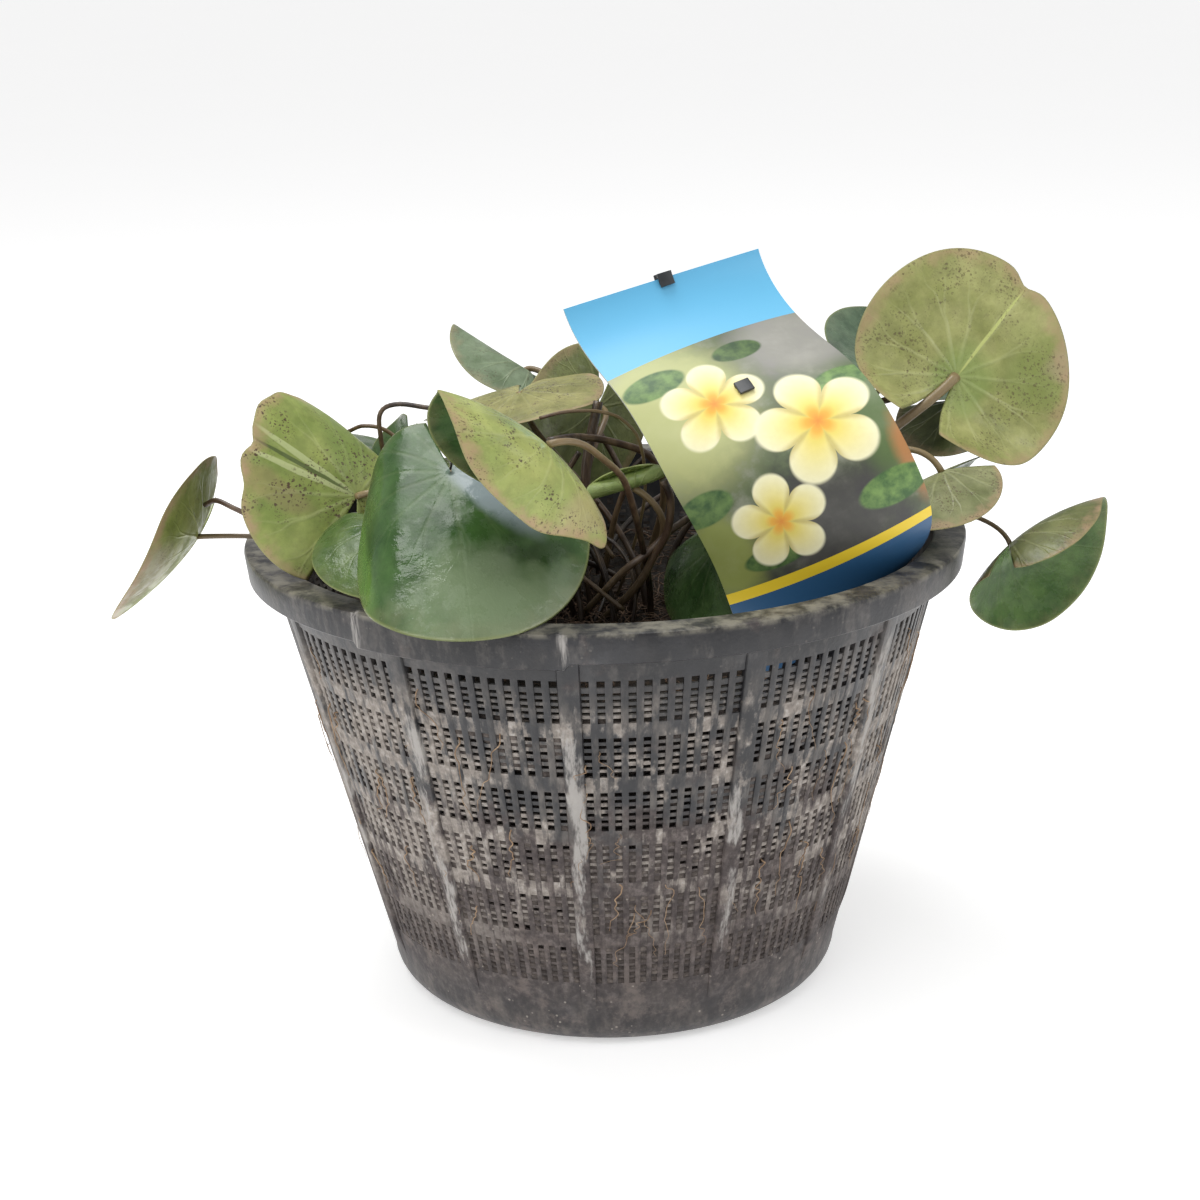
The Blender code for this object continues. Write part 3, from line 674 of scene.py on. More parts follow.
def tube(path, radius, sides=10, tint=0.5):
    """A round tube with flat ends; its values say how far along it a point is."""
    forward = np.gradient(path, axis=0)
    forward /= np.linalg.norm(forward, axis=1)[:, None]
    plane = np.cross(path[-1] - path[0], path[len(path) // 2] - (path[0] + path[-1]) / 2)
    if np.linalg.norm(plane) < 1e-7:
        plane = np.cross(forward[0], (0.3, 0.5, 0.8))
    first = np.cross(forward, plane / np.linalg.norm(plane))
    first /= np.linalg.norm(first, axis=1)[:, None]
    second = np.cross(first, forward)
    turn = np.linspace(0, 2 * math.pi, sides, endpoint=False)[None, :, None]
    circle = np.cos(turn) * first[:, None] + np.sin(turn) * second[:, None]
    ring = path[:, None] + circle * np.broadcast_to(radius, len(path))[:, None, None]
    ends = [np.broadcast_to(end, (1, sides, 3)) for end in (path[0], path[-1])]
    points = np.concatenate([ends[0], ring, ends[1]])
    run = np.concatenate([[0], np.linspace(0, 1, len(path)), [1]])[:, None]
    return patch(points, wrap_columns=True, along=run, tint=tint)


# %% [markdown]
# ## Leaves
#
# A water lily leaf is a round blade with a notch, and its stalk meets it near the notch's
# point. The blades here are out of the water, so they cup, fold and roll. Each is worked
# out flat first, then cupped, then bent: across a line in the blade, the slope turns by a
# few smooth steps, and walking along that slope gives the bent profile. A bend like this
# never stretches the leaf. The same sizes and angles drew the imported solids, which lie in
# these surfaces.

# %% The nineteen leaves
LEAVES = {
    "far_left": dict(
        seat=(-123, -14, 145.5), turn=(-115, -30, 56), size=29.5, fold_line=26,
        bends=((0.66, 0.38, -15), (0.06, 0.75, 19)), cup=0.16, back=0.21,
        foot=(-24, 30), rise=22, reach=(-90, -21, 148), stalk=0.75),
    "left": dict(
        seat=(-71, -45, 164.5), turn=(64, 59, -132), size=35, fold_line=-61,
        bends=((0.25, 1.3, 55), (0.43, 0.82, 29)), cup=0.13, back=0.12,
        foot=(-53, 30), rise=29, reach=(-58, -53, 172), ruffle=3.0,
        ridges=((-70, 4, -1.4), (-76, 3, 0.9), (-83, 4, -1.4)),
        trim=((-78, 5, 0.07), (-60, 6, -0.03), (-100, 8, 0.05), (-30, 9, 0.04))),
    "left_small": dict(
        seat=(-60.5, -62.5, 161), turn=(-52, -16, 17), size=25, fold_line=105,
        bends=((-0.64, 0.49, 26), (0.57, 0.54, -20)), cup=-0.19, back=0.12,
        foot=(-61, 29), rise=18, reach=(-55, -49, 136)),
    "left_dark": dict(
        seat=(-58, 0, 156), turn=(-58, -91, 101), size=27, fold_line=34,
        bends=((-0.7, 0.26, -62), (-0.17, 0.49, 35)), cup=-0.03, back=0.12,
        foot=(-108, 30), rise=8, reach=(-42, 6, 150)),
    "front": dict(
        seat=(-42, -72, 177.5), turn=(-81, -36, 5), size=38.5, fold_line=-10,
        bends=((-0.48, 0.51, -57), (0.34, 1.29, -29)), cup=-0.05, back=0.42,
        foot=(-18, 30), rise=17, reach=(-33, -54, 160)),
    "front_curled": dict(
        seat=(-15, -98, 190.5), turn=(-113, 28, 143), size=31.5, fold_line=33,
        bends=((0.13, 0.4, 49), (-0.39, 0.66, 58)), cup=0.2, back=0.12,
        foot=(27, 29), rise=23, reach=(6, -97, 197), 
        trim=((-50, 38, 0.17), (-117, 9, -0.14), (-88, 15, 0.06), (-140, 12, 0.05))),
    "middle": dict(
        seat=(-25, 8, 182.5), turn=(-101, -10, -171), size=26.5, fold_line=-110,
        bends=((-0.25, 1.1, 22), (0.7, 1.16, -30)), cup=0.09, back=0.12,
        foot=(30, 24), rise=34, reach=(-23, 2, 162), ruffle=1.6),
    "young": dict(
        seat=(8.5, -38, 163.5), turn=(184, -14, 12), size=13, fold_line=0,
        bends=((-0.3, 0.55, 160), (0.3, 0.55, 160)), cup=0, back=0.12,
        foot=(14, 28), rise=19, reach=(29, -39, 150), stalk=1.0),
    "inner": dict(
        seat=(33, -41, 146.5), turn=(154, -36, -43), size=25, fold_line=-20,
        bends=((-0.26, 1.22, -10), (-0.37, 0.48, -37)), cup=-0.2, back=0.12,
        foot=(55, 29), rise=13, reach=(41, -33, 137)),
    "behind_label": dict(
        seat=(-1, 40, 170.5), turn=(-144, -72, 76), size=25.5, fold_line=32,
        bends=((0.38, 0.79, 26), (0.28, 0.66, 16)), cup=-0.05, back=0.12,
        foot=(-145, 16), rise=48, reach=(7, 28, 170), trim=((66, 26, -0.28),)),
    "back_left": dict(
        seat=(-24.5, 53, 180), turn=(125, 2, -136), size=26, fold_line=-37,
        bends=((-0.25, 0.55, 56), (0.65, 0.64, 1)), cup=-0.01, back=0.12,
        foot=(152, 27), rise=43, reach=(-20, 54, 185)),
    "back_right": dict(
        seat=(96, 48, 181.5), turn=(-113, -16, -24), size=26, fold_line=-44,
        bends=((-0.64, 1.58, 0), (0.33, 0.57, 0)), cup=0.2, back=0.12,
        foot=(133, 30), rise=20, reach=(82, 51, 151)),
    "right": dict(
        seat=(108, 6, 184.5), turn=(31, 40, -119), size=35, fold_line=77,
        bends=((0.29, 0.58, -38), (0.43, 1.09, -15)), cup=0.01, back=0.12,
        foot=(74, 30), rise=19, reach=(91, -11, 171), stalk=1.5, ruffle=1.5,
        trim=((-2, 6, 0.07), (-35, 30, -0.05), (40, 25, 0.03))),
    "right_dark": dict(
        seat=(116, 38, 170.5), turn=(-33, 3, 203), size=27, fold_line=26,
        bends=((0.56, 0.76, 16), (0.17, 0.33, 7)), cup=-0.04, back=0.12,
        foot=(138, 30), rise=34, reach=(103, 35, 183), stalk=1.1),
    "right_low": dict(
        seat=(100.5, -20, 161), turn=(197, -15, 192), size=26, fold_line=-15,
        bends=((0.07, 1, 35), (-0.06, 0.41, 31)), cup=0.05, back=0.32,
        foot=(86, 30), rise=14, reach=(88, -16, 186)),
    "far_right": dict(
        seat=(123, -12, 136), turn=(60, -2, 130), size=28, fold_line=-140,
        bends=((0.15, 1.4, 53), (-0.14, 0.88, 34)), cup=0.2, back=0.32,
        foot=(105, 30), rise=23, reach=(116, 7, 154), stalk=0.7),
    "rear_left": dict(
        seat=(-78.5, 63.5, 150), turn=(125, 9, 13), size=31, fold_line=-30,
        bends=((-0.17, 0.64, -9), (-0.46, 0.8, 28)), cup=-0.03, back=0.15,
        foot=(-116, 29), rise=30, reach=(-81, 58, 123)),
    "rear_mid": dict(
        seat=(-29.5, 91, 162), turn=(112, -11, -3), size=30.5, fold_line=-57,
        bends=((-0.08, 1.25, 14), (0.48, 0.88, -15)), cup=-0.03, back=0.15,
        foot=(-161, 30), rise=19, reach=(-21, 81, 136)),
    "rear_right": dict(
        seat=(47, 86.5, 156.5), turn=(37, 2, 25), size=31, fold_line=-13,
        bends=((0.12, 0.68, 27), (0.44, 0.51, -7)), cup=-0.01, back=0.15,
        foot=(180, 30), rise=23, reach=(38, 92, 128)),
}
NOTCH_HALF_ANGLE = math.radians(14)
STALK_RADIUS = 0.95
BLADE_THICKNESS = 0.5


# %% A bent blade, worked out flat first
def rotation(heading, pitch, roll):
    """Roll about x, then pitch about y, then heading about z, in degrees."""
    (ch, cp, cr), (sh, sp, sr) = (f(np.radians([heading, pitch, roll])) for f in (np.cos, np.sin))
    about_z = np.array([[ch, -sh, 0], [sh, ch, 0], [0, 0, 1]])
    about_y = np.array([[cp, 0, -sp], [0, 1, 0], [sp, 0, cp]])
    about_x = np.array([[1, 0, 0], [0, cr, -sr], [0, sr, cr]])
    return about_z @ about_y @ about_x


def bent_profile(bends, size):
    """Slope, distance out and rise along a walk across the fold line, zero at the seat."""
    walk = np.linspace(-1.6, 1.6, 641) * size
    slope = sum(math.radians(angle) * step_up(walk / size, place - width / 2, place + width / 2)
                for place, width, angle in bends)
    slope = slope - np.interp(0, walk, slope)
    step = walk[1] - walk[0]
    paths = []
    for rate in (np.cos(slope), np.sin(slope)):
        path = np.append(0, np.cumsum((rate[1:] + rate[:-1]) / 2 * step))
        paths.append(path - np.interp(0, walk, path))
    return walk, slope, *paths


def blade_surface(leaf, s, t, wave):
    """Points of the blade's middle surface in metres, and their flat places as shares of size.

    s runs round the blade from one side of the notch to the other and t from the seat to
    the edge. The flat outline is a circle with the seat off its middle, which each trim
    (angle, width, amount) pulls in or out a little, and wave lifts the surface.
    """
    size = leaf["size"]
    phi = s * (math.pi - NOTCH_HALF_ANGLE)
    offset = leaf["back"] * size
    edge = offset * np.cos(phi) + np.sqrt(size ** 2 - (offset * np.sin(phi)) ** 2)
    for at, width, amount in leaf.get("trim", ()):
        edge = edge * (1 - amount * np.exp(-((np.degrees(phi) - at) / width) ** 2))
    radius = t * edge * (1 - 0.1 * np.abs(s) ** 8)
    flat_x, flat_y = radius * np.cos(phi), radius * np.sin(phi)
    lift = leaf["cup"] * (radius / size) ** 2 * size + wave
    line = math.radians(leaf["fold_line"])
    along = radius * np.cos(phi - line)
    across = radius * np.sin(phi - line)
    walk, slope, out_path, rise_path = bent_profile(leaf["bends"], size)
    tilt = np.interp(across, walk, slope)
    out = np.interp(across, walk, out_path) - lift * np.sin(tilt)
    rise = np.interp(across, walk, rise_path) + lift * np.cos(tilt)
    x = along * math.cos(line) - out * math.sin(line)
    y = along * math.sin(line) + out * math.cos(line)
    points = np.stack([x, y, rise], -1) @ rotation(*leaf["turn"]).T + leaf["seat"]
    return points * MM, np.stack([flat_x, flat_y], -1) / size


def normals(points):
    """Unit normals of a grid, from the cross product of its two directions."""
    normal = np.cross(np.gradient(points, axis=0), np.gradient(points, axis=1))
    normal[0] = normal[1].mean(0)
    return normal / (np.linalg.norm(normal, axis=-1, keepdims=True) + 1e-12)


def make_blade(name, leaf, seed):
    """Upper and lower skins that meet in a thin edge, each with its own half of the UV map."""
    columns, lines = 121, 44
    s = np.linspace(-1, 1, columns)[None, :]
    t = (1 - (1 - np.linspace(0, 1, lines)) ** 1.25)[:, None]
    rng = np.random.default_rng(seed)
    wave = 0
    for count in (3, 5, 8, 13):
        wave = wave + 0.55 / count * rng.normal() * np.cos(count * math.pi * s + rng.uniform(0, 6))
    wave = wave * leaf.get("ruffle", 1.0)
    for at, width, height in leaf.get("ridges", ()):
        away = s * math.degrees(math.pi - NOTCH_HALF_ANGLE) - at
        wave = wave + height * np.exp(-(away / width) ** 2)
    wave = wave * t ** 2 * leaf["size"] / 30
    points, flat = blade_surface(leaf, s, t, wave)
    to_side = np.clip((1 - np.abs(s)) / 0.012, 0, 1)
    to_edge = np.clip((1 - t) / 0.03, 0, 1)
    round_off = np.sqrt(np.clip(1 - (1 - np.minimum(to_side, to_edge)) ** 2, 0, 1))
    half = BLADE_THICKNESS / 2 * MM * (1.25 - 0.65 * t) * round_off
    half[0] = 0
    shift = normals(points) * half[..., None]
    place = flat / (6, 3) + (0.25, 0.5)
    edge = np.broadcast_to(t, half.shape)
    upper = patch(points + shift, uv=place, edge=edge)
    lower = patch(points - shift, uv=place + (0.5, 0), edge=edge, flip=True)
    return [upper, lower]


def stalk_path(leaf, count):
    """From inside the soil up to the underside of the blade."""
    angle, radius = leaf["foot"]
    foot = polar(math.radians(angle), radius * MM, float(soil_height(radius * MM)) - 3 * MM)
    up = np.array([0, 0, (leaf["rise"] + 3) * MM])
    normal = rotation(*leaf["turn"])[:, 2]
    end = (np.array(leaf["seat"]) - normal * BLADE_THICKNESS / 2) * MM
    return bezier((foot, foot + up, np.array(leaf["reach"]) * MM, end), count)


# %% [markdown]
# ## Leaf finish
#
# The flat place of a point is in the UV map, with the upper skin on the left half and the
# lower skin on the right. From it come the distance from the seat and the angle round it.
# Folding the angle with a ping-pong turns the circle into equal sectors, and the distance
# to the middle of a sector draws the veins, which fork where their offset grows. The edge
# value brings the pink margin, and two noises bring blotches and clusters of brown specks.

# %% Veins, blotches, margin and specks
LOOKS = {
    "far_left": dict(top=((0.20, 0.25, 0.05), (0.33, 0.36, 0.11)),
                     under=((0.20, 0.25, 0.05), (0.33, 0.36, 0.11)), blush=0.8, specks=0.3, zones=(
        (1.05, 0.30, 0.55, 0.55, 0, (0.36, 0.31, 0.24), 0.6),)),
    "left": dict(under=((0.19, 0.25, 0.055), (0.31, 0.36, 0.10)), blush=0.8, specks=1.0, zones=(
        # Painted highlights: two pale lines along the ridges of the fold.
        (0.18, -0.49, 0.55, 0.028, -70, (0.42, 0.47, 0.22), 0.85),
        (0.07, -0.52, 0.55, 0.028, -82, (0.42, 0.46, 0.22), 0.85),
        # Painted shade: a dark line in the valley between the ridges.
        (0.13, -0.51, 0.50, 0.022, -76, (0.08, 0.11, 0.03), 0.9),
        (-0.12, -0.66, 0.40, 0.13, -75, (0.27, 0.20, 0.10), 0.45),
        (0.50, -0.15, 0.45, 0.25, -20, (0.15, 0.22, 0.05), 0.6))),
    # Painted shade: left_small's upper colours are darkened a little for the shade it sits in.
    "left_small": dict(top=((0.045, 0.095, 0.02), (0.11, 0.165, 0.05)),
                       under=((0.16, 0.21, 0.06), (0.25, 0.30, 0.10)), blush=0.4),
    "left_dark": dict(top=((0.018, 0.055, 0.010), (0.050, 0.110, 0.022)),
                      under=((0.022, 0.065, 0.012), (0.055, 0.12, 0.025))),
    "front": dict(top=((0.024, 0.068, 0.014), (0.060, 0.125, 0.034)), veins=0.3, specks=0.1, gloss=0.20, zones=(
        # Painted reflection: the pale grey-green lower part of the blade.
        (1.12, 0.22, 0.47, 0.78, 0, (0.20, 0.26, 0.15), 0.85),
        # Painted shadow: a dark green triangle where the curled leaf above shades the blade.
        (0.68, 0.62, 0.09, 0.30, 8, (0.022, 0.050, 0.012), 0.7),
        # Painted reflection: two bluish-grey patches of sheen.
        (0.24, 0.28, 0.46, 0.15, 44, (0.25, 0.30, 0.32), 0.80),
        (-0.10, 0.62, 0.40, 0.10, 60, (0.26, 0.31, 0.33), 0.55),
        # Painted light: a brighter green rim along the left edge.
        (0.35, -0.92, 0.85, 0.16, 12, (0.10, 0.20, 0.04), 0.7))),
    "front_curled": dict(under=((0.26, 0.32, 0.09), (0.40, 0.44, 0.14)), blush=0.9, specks=0.9, zones=(
        (0.40, -0.20, 0.35, 0.25, -40, (0.40, 0.42, 0.12), 0.30),
        (-0.30, -0.62, 0.50, 0.22, -25, (0.42, 0.33, 0.18), 0.55))),
    "middle": dict(under=((0.22, 0.22, 0.07), (0.36, 0.34, 0.13)), specks=1.0, blush=0.8, veins=0.2),
    "young": dict(top=((0.19, 0.27, 0.07), (0.32, 0.40, 0.12)),
                  under=((0.19, 0.27, 0.07), (0.30, 0.38, 0.12)), blush=0.1, specks=0.0),
    "inner": dict(under=((0.12, 0.15, 0.05), (0.20, 0.22, 0.08))),
    "behind_label": dict(under=((0.13, 0.16, 0.05), (0.22, 0.25, 0.09))),
    "back_left": dict(top=((0.07, 0.12, 0.06), (0.16, 0.22, 0.13)),
                      under=((0.12, 0.17, 0.09), (0.21, 0.27, 0.17)), blush=0.3, veins=0.2),
    "back_right": dict(top=((0.07, 0.12, 0.07), (0.16, 0.23, 0.14)),
                       under=((0.12, 0.17, 0.09), (0.20, 0.26, 0.15)), blush=0.3),
    "right": dict(under=((0.24, 0.26, 0.08), (0.38, 0.385, 0.15)), blush=0.6, veins=0.45, specks=0.55, zones=(
        (0.55, 0.55, 0.40, 0.40, 0, (0.17, 0.22, 0.05), 0.6),
        (0.00, 0.05, 0.35, 0.30, 0, (0.17, 0.27, 0.06), 0.5),
        (0.80, 0.75, 0.25, 0.20, 45, (0.38, 0.30, 0.19), 0.6),
        (0.52, -0.01, 0.55, 0.017, -2, (0.46, 0.50, 0.17), 0.9))),
    "right_dark": dict(under=((0.08, 0.10, 0.035), (0.16, 0.18, 0.07)), specks=0.3),
    "right_low": dict(under=((0.15, 0.17, 0.065), (0.26, 0.27, 0.13)), blush=0.7, specks=0.7),
    "far_right": dict(top=((0.035, 0.085, 0.016), (0.095, 0.170, 0.045)),
                      under=((0.10, 0.12, 0.035), (0.19, 0.20, 0.07)), blush=0.7, specks=0.6, veins=0.35),
    "rear_left": dict(),
    "rear_mid": dict(),
    "rear_right": dict(),
}
VEINS = 14


def leaf_finish(name, number, top=((0.022, 0.055, 0.014), (0.065, 0.120, 0.038)),
                under=((0.17, 0.21, 0.07), (0.28, 0.32, 0.12)), margin=(0.42, 0.27, 0.17),
                blush=0.5, veins=0.4, specks=0.4, gloss=0.26, zones=()):
    material, tree, shader = new_material("finish_" + name, gloss, Specular_IOR_Level=0.38)
    place = node(tree, "SeparateXYZ", {0: node(tree, "UVMap", uv_map="pattern").outputs[0]})
    below = calc(tree, "GREATER_THAN", place.outputs["X"], 0.5)
    u = calc(tree, "SUBTRACT", place.outputs["X"], calc(tree, "MULTIPLY_ADD", below, 0.5, 0.25))
    x = calc(tree, "MULTIPLY", u, 6.0)
    y = calc(tree, "MULTIPLY", calc(tree, "SUBTRACT", place.outputs["Y"], 0.5), 3.0)
    flat = node(tree, "CombineXYZ", {"X": x, "Y": y, "Z": number * 7.3}).outputs[0]
    edge = value_of(tree, "edge")

    radius = node(tree, "VectorMath", {0: flat, 1: (1.0, 1.0, 0.0)}, operation="MULTIPLY").outputs[0]
    radius = node(tree, "VectorMath", {0: radius}, operation="LENGTH").outputs["Value"]
    wobble = calc(tree, "SUBTRACT", noise(tree, flat, 2.0, 2), 0.5)
    angle = calc(tree, "ARCTAN2", y, x)
    angle = calc(tree, "MULTIPLY_ADD", calc(tree, "MULTIPLY", wobble, radius), 0.40, angle)
    sector = calc(tree, "PINGPONG", calc(tree, "MULTIPLY", angle, VEINS / (2 * math.pi)), 0.5)
    fork = spread(tree, radius, 0.40, 1.05, 0.0, 0.26)
    off = calc(tree, "ABSOLUTE", calc(tree, "SUBTRACT", sector, fork))
    off = calc(tree, "MULTIPLY", calc(tree, "MULTIPLY", off, 2 * math.pi / VEINS), radius)
    thick = spread(tree, radius, 0.0, 1.0, 0.032, 0.012)
    vein = spread(tree, calc(tree, "DIVIDE", off, thick), 1.0, 0.0)
    vein = calc(tree, "MULTIPLY", vein, spread(tree, radius, 1.0, 0.35, 0.10, 1.0))
    midrib = calc(tree, "ADD", calc(tree, "ABSOLUTE", y), calc(tree, "MULTIPLY", x, 0.02))
    midrib = calc(tree, "MULTIPLY", spread(tree, midrib, 0.045, 0.010), spread(tree, x, 0.0, 0.1))
    vein = calc(tree, "MAXIMUM", vein, midrib)

    blotch = noise(tree, flat, 2.3, 6, 0.62)
    upper = ramp(tree, blotch, (0.36, top[0]), (0.64, top[1]))
    lower = ramp(tree, blotch, (0.36, under[0]), (0.64, under[1]))
    colour = blend(tree, below, upper, lower)
    cloud = spread(tree, noise(tree, flat, 6.5, 6, 0.7), 0.38, 0.64)
    colour = blend(tree, calc(tree, "MULTIPLY", cloud, 0.45), colour,
                   blend(tree, 1.0, colour, (0.62, 0.60, 0.60), "MULTIPLY"))
    seen = calc(tree, "MULTIPLY", vein, calc(tree, "MULTIPLY_ADD", below, veins * 0.8, veins * 0.25))
    colour = blend(tree, seen, colour, blend(tree, 0.35, colour, (0.66, 0.68, 0.36)))

    drift = node(tree, "TexNoise", {"Vector": flat, "Scale": 3.0, "Detail": 5.0}).outputs["Color"]
    drift = node(tree, "VectorMath", {0: drift, 1: (0.5, 0.5, 0.5)}, operation="SUBTRACT").outputs[0]
    # Each zone paints an oval of colour in the flat place; most are a leaf's own colour, and some on the front and
    # left leaves are painted reflections, highlights and shade.
    for at_x, at_y, long, wide, turn, tone, amount in zones:
        soft = min(1.0, 4 * wide)
        moved = node(tree, "VectorMath", {0: drift, 1: (wide, wide, 0.0), 2: flat}, operation="MULTIPLY_ADD")
        local = node(tree, "Mapping", {"Vector": moved.outputs[0], "Location": (at_x, at_y, number * 7.3),
                                       "Rotation": (0, 0, math.radians(turn)), "Scale": (long, wide, 1)},
                     vector_type="TEXTURE").outputs[0]
        away = node(tree, "VectorMath", {0: local}, operation="LENGTH").outputs["Value"]
        inside = calc(tree, "MULTIPLY", spread(tree, away, 1.0 + 0.3 * soft, 0.75 - 0.3 * soft), amount)
        colour = blend(tree, inside, colour, tone)

    ragged = calc(tree, "MULTIPLY_ADD", calc(tree, "SUBTRACT", noise(tree, flat, 5, 5, 0.6), 0.5), 0.45, edge)
    pink = calc(tree, "MULTIPLY", spread(tree, ragged, 0.84, 1.04),
                calc(tree, "MULTIPLY_ADD", below, blush * 0.8, blush * 0.15))
    colour = blend(tree, pink, colour, margin)
    rim = spread(tree, edge, 0.975, 0.995, 0.0, 0.5)
    colour = blend(tree, rim, colour, (0.24, 0.26, 0.09))
    bent = node(tree, "TexNoise", {"Vector": flat, "Scale": 40.0, "Detail": 2.0}).outputs["Color"]
    bent = node(tree, "VectorMath", {0: bent, 1: (0.035, 0.035, 0.0), 2: flat}, operation="MULTIPLY_ADD").outputs[0]
    groups = noise(tree, flat, 3.1, 4, 0.6)
    for scale, low, high in ((22.0, 0.46, 0.58), (44.0, 0.42, 0.58)):
        spot = node(tree, "TexVoronoi", {"Vector": bent, "Scale": scale}).outputs["Distance"]
        spot = calc(tree, "MULTIPLY", spread(tree, spot, 0.34, 0.20), spread(tree, groups, low, high))
        spot = calc(tree, "MULTIPLY", spot, calc(tree, "MULTIPLY_ADD", below, specks * 0.8, specks * 0.15))
        colour = blend(tree, spot, colour, (0.070, 0.038, 0.024))

    relief = calc(tree, "MULTIPLY", vein, calc(tree, "MULTIPLY_ADD", below, 1.4, -0.4))
    relief = calc(tree, "MULTIPLY_ADD", noise(tree, flat, 5, 5), 2.2, relief)
    relief = calc(tree, "MULTIPLY_ADD", noise(tree, flat, 60, 3), 0.12, relief)
    dry = spread(tree, noise(tree, flat, 3.3, 6, 0.65), 0.46, 0.56, -0.10, 0.14)
    rough = calc(tree, "MULTIPLY_ADD", below, 0.15, calc(tree, "ADD", dry, gloss))
    finish_with(tree, shader, Base_Color=colour, Roughness=rough, Normal=bump(tree, relief, 0.22 * MM, 0.7))
    return material


def stalk_finish():
    material, tree, shader = new_material("petiole", 0.38)
    place = object_place(tree)
    along, tint = value_of(tree, "along"), value_of(tree, "tint")
    at = calc(tree, "ADD", along, calc(tree, "SUBTRACT", tint, 0.5))
    colour = ramp(tree, at, (0.05, (0.020, 0.012, 0.008)), (0.45, (0.085, 0.048, 0.028)),
                  (0.95, (0.23, 0.17, 0.080)))
    mottle = spread(tree, noise(tree, place, 320, 4, 0.6, stretch=(1, 1, 0.4)), 0.40, 0.66)
    colour = blend(tree, calc(tree, "MULTIPLY", mottle, 0.35), colour, (0.26, 0.18, 0.10))
    # Painted shade: from 160 mm down to 120 mm the stalks darken towards near black, for the shade under the leaves.
    height = node(tree, "SeparateXYZ", {0: place}).outputs["Z"]
    colour = blend(tree, spread(tree, height, 0.160, 0.120, 0.0, 0.80), colour, (0.016, 0.010, 0.007))
    finish_with(tree, shader, Base_Color=colour,
                Normal=bump(tree, noise(tree, place, 900, 3, 0.6, stretch=(1, 1, 0.2)), 0.12 * MM, 0.6))
    return material


petiole_material = stalk_finish()
for number, (name, leaf) in enumerate(LEAVES.items()):
    blade = piece("blade_" + name, make_blade(name, leaf, 40 + number),
                  leaf_finish(name, number, **LOOKS[name]))
    settle(blade, "leaf_young" if name == "young" else "leaf", "leaf_" + name)
    run = np.linspace(0, 1, 48)
    swell = 1 + 0.25 * np.exp(-run / 0.06) + 0.15 * np.exp(-(1 - run) / 0.04)
    path = stalk_path(leaf, len(run))
    path += 0.25 * MM * np.sin(math.pi * run)[:, None] * ripple(path, 0.03, number)[:, None]
    stem = tube(path, leaf.get("stalk", STALK_RADIUS) * MM * swell, 14, tint=0.35 + 0.3 * (number * 0.618 % 1))
    settle(piece("petiole_" + name, [stem], petiole_material), "stalk", "stalk_" + name)

# %% [markdown]
# ## The printed card and its stake
#
# The card is a developable strip: along it the facing, the lean and the spin change as
# cubics, and across it the card is arched. Its print is worked out from the UV map: a sky-blue
# band, a garden picture of three plain five-petalled blossoms among round leaves, a yellow
# rule and a dark blue foot. The stake runs behind it and hooks over the card in two places.

# %% The card's surface
CARD_WIDTH = 64 * MM
CARD_LENGTH = 129 * MM
CARD_THICKNESS = 0.5 * MM
CARD_TOP = np.array((19.1, -12.3, 220.0)) * MM
CARD_FACING = (18, -4, -4, 46)
CARD_LEAN = (17, 58, 7, 0)
CARD_SPIN = (12, 29, 26, 16)
ARCH_RADIUS = (270 * MM, 113 * MM)
STAKE_BELOW = 11 * MM
LINE_START = -5.5 * MM
SLOT_AT = 46 * MM


def cubic(values, t):
    """The cubic through four values at t = 0, 1/3, 2/3 and 1."""
    return np.polyval(np.polyfit((0, 1 / 3, 2 / 3, 1), values, 3), np.clip(t, 0, 1))


def card_directions(along):
    facing, lean, spin = (np.radians(cubic(values, along / CARD_LENGTH))[..., None]
                          for values in (CARD_FACING, CARD_LEAN, CARD_SPIN))
    level = np.concatenate([np.cos(facing), np.sin(facing), 0 * facing], -1)
    normal = np.concatenate([np.sin(facing) * np.cos(lean), -np.cos(facing) * np.cos(lean),
                             np.sin(lean)], -1)
    up = np.cross(normal, level)
    return np.cos(spin) * level + np.sin(spin) * up, np.sin(spin) * level - np.cos(spin) * up, normal


def card_point(across, along, out):
    """Points of the card; out is a distance in front of its middle."""
    across, along, out = np.broadcast_arrays(*(np.asarray(v, float) for v in (across, along, out)))
    line = np.linspace(LINE_START, CARD_LENGTH + STAKE_BELOW, 400)
    down = card_directions(line)[1]
    steps = (down[1:] + down[:-1]) / 2 * np.diff(line)[:, None]
    centre = np.vstack([np.zeros(3), np.cumsum(steps, axis=0)])
    centre = np.stack([np.interp(along, line, c) - np.interp(0, line, c) for c in centre.T], -1)
    right, _, normal = card_directions(along)
    flat, tight = (1 / radius for radius in ARCH_RADIUS)
    curve = flat + (tight - flat) * np.clip(along / CARD_LENGTH, 0, 1)
    side = np.sin(across * curve) / curve
    drop = (1 - np.cos(across * curve)) / curve
    return CARD_TOP + centre + side[..., None] * right + (out - drop)[..., None] * normal


def make_card():
    """Front and back sheets, joined round the edge by a strip."""
    across = np.linspace(-1, 1, 65)[None, :] * CARD_WIDTH / 2
    along = np.linspace(0, 1, 130)[:, None] * CARD_LENGTH
    uv = np.stack(np.broadcast_arrays(across / CARD_WIDTH + 0.5, along / CARD_LENGTH), -1)
    half = CARD_THICKNESS / 2
    front, back = card_point(across, along, half), card_point(across, along, -half)
    made = [patch(front, uv=uv), patch(back, uv=0 * uv - 1, flip=True)]
    for pick, turned in (((0,), False), ((-1,), True), ((slice(None), 0), True), ((slice(None), -1), False)):
        line = np.stack([back[pick], front[pick]])
        made.append(patch(line, uv=np.full((*line.shape[:2], 2), -1.0), flip=turned))
    return made


